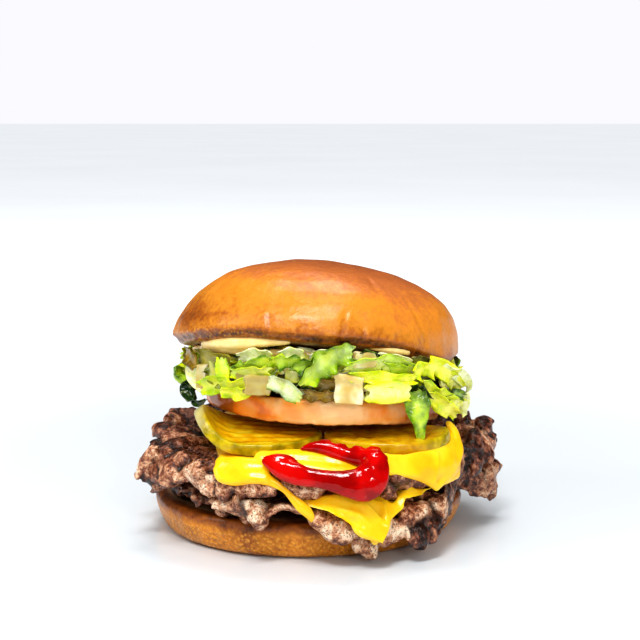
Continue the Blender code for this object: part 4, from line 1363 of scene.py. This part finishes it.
def colour_of(name, code, description):
    return FloatVectorProperty(name=name, description=description, subtype="COLOR", size=4, min=0.0, max=1.0,
                               default=paint(code))


def length_of(name, default, description):
    return FloatProperty(name=name, description=description, subtype="DISTANCE", unit="LENGTH", precision=5,
                         min=0.0, max=0.01, default=default)


class BurgerBun(bpy.types.PropertyGroup):
    golden: colour_of("Golden crust", "D4821E", "Crust where it is thin")
    well_baked: colour_of("Well baked crust", "B6662A", "Crust where it baked longest")


class BurgerBeef(bpy.types.PropertyGroup):
    clumps: IntProperty(name="Clumps", description="Lumps of mince round a patty's rim",
                        min=1, max=600, default=220)
    strands: IntProperty(name="Strands", description="Fine strands on a patty's rim",
                         min=1, max=9000, default=3600)
    cut: colour_of("Cut meat", "BC8460", "Meat where the sear has broken away")
    seared: colour_of("Seared meat", "502616", "Meat where it touched the griddle")


class BurgerCheese(bpy.types.PropertyGroup):
    swell: length_of("Swell", 0.5 * MM, "How far a melted slice swells")
    colour: colour_of("Cheese", "FFC414", "Body of the melted slices")


class BurgerSauce(bpy.types.PropertyGroup):
    ketchup: colour_of("Ketchup", "A40101", "Body of the ketchup")
    spread: colour_of("Spread", "FADE98", "Cream spread under the lid")


class BurgerPickle(bpy.types.PropertyGroup):
    ridge_depth: length_of("Ridge depth", 0.42 * MM, "Height of the crinkle cut")
    rind_start: FloatProperty(name="Rind start",
                              description="Share of a slice's half width where its rind starts",
                              subtype="FACTOR", min=0.5, max=1.0, default=0.88)
    flesh: colour_of("Flesh", "D29C06", "Inside of the pickles")
    rind: colour_of("Rind", "AA9406", "Skin of the pickles")


class BurgerTomato(bpy.types.PropertyGroup):
    skin: colour_of("Skin", "EE8018", "Outside of the tomato")
    flesh: colour_of("Flesh", "CC6A1A", "Cut face of the tomato")


class BurgerSalad(bpy.types.PropertyGroup):
    shreds: IntProperty(name="Loose shreds", description="Shreds of lettuce round the heap",
                        min=1, max=400, default=190)
    green: colour_of("Leaf", "98BA04", "Middle green of the lettuce")
    onion: colour_of("Onion", "EEDC94", "Body of the onion")


class BurgerStudio(bpy.types.PropertyGroup):
    fill: FloatProperty(name="Fill light", description="Strength of the light from all round",
                        min=0.0, max=4.0, default=0.7)
    key: FloatProperty(name="Key light", description="Power of the main soft lamp", unit="POWER", min=0.0,
                       max=100.0, default=7.2)
    floor: colour_of("Floor", "D6DBDF", "Pale floor")
    backdrop: colour_of("Backdrop", "E8E7EC", "What is behind the floor")


class BURGER_OT_heel(bpy.types.Operator):
    """Bottom of the bun, with its bubbly golden side and dark cut edge"""

    bl_idname = "burger.heel"
    bl_label = "Heel"

    def execute(self, context):
        make_heel(context.scene.burger_bun)
        return {"FINISHED"}


class BURGER_OT_crown(bpy.types.Operator):
    """Domed top of the bun, with its creases and darker rim"""

    bl_idname = "burger.crown"
    bl_label = "Bun top"

    def execute(self, context):
        make_crown(context.scene.burger_bun)
        return {"FINISHED"}


class BURGER_OT_patties(bpy.types.Operator):
    """Two smashed beef patties with rough rims"""

    bl_idname = "burger.patties"
    bl_label = "Patties"

    def execute(self, context):
        beef = context.scene.burger_beef
        make_patty("patty_lower", "beef_lower", ["cheese_lower", "bun_base"], LOWER_CHUNKS, beef, 11)
        make_patty("patty_upper", "beef_upper", ["cheese_upper"], UPPER_CHUNKS, beef, 23)
        return {"FINISHED"}


class BURGER_OT_cheese(bpy.types.Operator):
    """Two melted slices of cheese that hang over the patties"""

    bl_idname = "burger.cheese"
    bl_label = "Cheese"

    def execute(self, context):
        cheese = context.scene.burger_cheese
        make_cheese("cheese_lower", "melt_lower", LOWER_MELT, cheese)
        make_cheese("cheese_upper", "melt_upper", UPPER_MELT, cheese)
        return {"FINISHED"}


class BURGER_OT_ketchup(bpy.types.Operator):
    """Glossy loop of ketchup that runs down the front"""

    bl_idname = "burger.ketchup"
    bl_label = "Ketchup"

    def execute(self, context):
        make_ketchup(context.scene.burger_sauce)
        return {"FINISHED"}


class BURGER_OT_pickles(bpy.types.Operator):
    """Two crinkle-cut slices of pickle"""

    bl_idname = "burger.pickles"
    bl_label = "Pickles"

    def execute(self, context):
        pickle = context.scene.burger_pickle
        left = ("pickle_left", "pickle_chip_left", (-15.5, -33.5), (17.5, 20.5), 5, left_pickle_middle, 0.4)
        right = ("pickle_right", "pickle_chip_right", (26.5, -33), (21, 16.5), 85, right_pickle_middle, 0.38)
        make_pickle(*left, pickle)
        make_pickle(*right, pickle)
        return {"FINISHED"}


class BURGER_OT_tomato(bpy.types.Operator):
    """Thick slice of tomato that leans back"""

    bl_idname = "burger.tomato"
    bl_label = "Tomato"

    def execute(self, context):
        make_tomato(context.scene.burger_tomato)
        return {"FINISHED"}


class BURGER_OT_salad(bpy.types.Operator):
    """Heap of shredded lettuce and onion"""

    bl_idname = "burger.salad"
    bl_label = "Salad"

    def execute(self, context):
        salad = context.scene.burger_salad
        make_core(salad)
        make_lettuce(salad)
        make_onion(salad)
        return {"FINISHED"}


class BURGER_OT_spread(bpy.types.Operator):
    """Cream spread under the crown"""

    bl_idname = "burger.spread"
    bl_label = "Spread"

    def execute(self, context):
        make_spread(context.scene.burger_sauce)
        return {"FINISHED"}


class BURGER_OT_stage(bpy.types.Operator):
    """Pale floor, soft studio light and camera"""

    bl_idname = "burger.stage"
    bl_label = "Stage"

    def execute(self, context):
        make_stage(context.scene.burger_studio)
        return {"FINISHED"}


SETTINGS = {
    "burger_bun": BurgerBun,
    "burger_beef": BurgerBeef,
    "burger_cheese": BurgerCheese,
    "burger_sauce": BurgerSauce,
    "burger_pickle": BurgerPickle,
    "burger_tomato": BurgerTomato,
    "burger_salad": BurgerSalad,
    "burger_studio": BurgerStudio,
}
OPERATORS = [
    BURGER_OT_heel,
    BURGER_OT_patties,
    BURGER_OT_cheese,
    BURGER_OT_ketchup,
    BURGER_OT_pickles,
    BURGER_OT_tomato,
    BURGER_OT_salad,
    BURGER_OT_spread,
    BURGER_OT_crown,
    BURGER_OT_stage,
]


class BURGER_PT_layers(bpy.types.Panel):
    """The burger's layers, from the heel up, and what each is made to"""

    bl_label = "Double Cheeseburger"
    bl_idname = "BURGER_PT_layers"
    bl_space_type = "VIEW_3D"
    bl_region_type = "UI"
    bl_category = "Burger"

    def draw(self, context):
        layout = self.layout
        for operator in OPERATORS:
            layout.operator(operator.bl_idname)
        for setting in SETTINGS:
            group = getattr(context.scene, setting)
            box = layout.box()
            for name in group.__annotations__:
                box.prop(group, name)


def register():
    for group in SETTINGS.values():
        bpy.utils.register_class(group)
    for name, group in SETTINGS.items():
        setattr(bpy.types.Scene, name, PointerProperty(type=group))
    for operator in OPERATORS:
        bpy.utils.register_class(operator)
    bpy.utils.register_class(BURGER_PT_layers)


def unregister():
    bpy.utils.unregister_class(BURGER_PT_layers)
    for operator in reversed(OPERATORS):
        bpy.utils.unregister_class(operator)
    for name, group in SETTINGS.items():
        delattr(bpy.types.Scene, name)
        bpy.utils.unregister_class(group)


def main():
    register()
    bpy.ops.burger.heel()
    bpy.ops.burger.patties()
    bpy.ops.burger.cheese()
    bpy.ops.burger.ketchup()
    bpy.ops.burger.pickles()
    bpy.ops.burger.tomato()
    bpy.ops.burger.salad()
    bpy.ops.burger.spread()
    bpy.ops.burger.crown()
    bpy.ops.burger.stage()


if __name__ == "__main__":
    main()
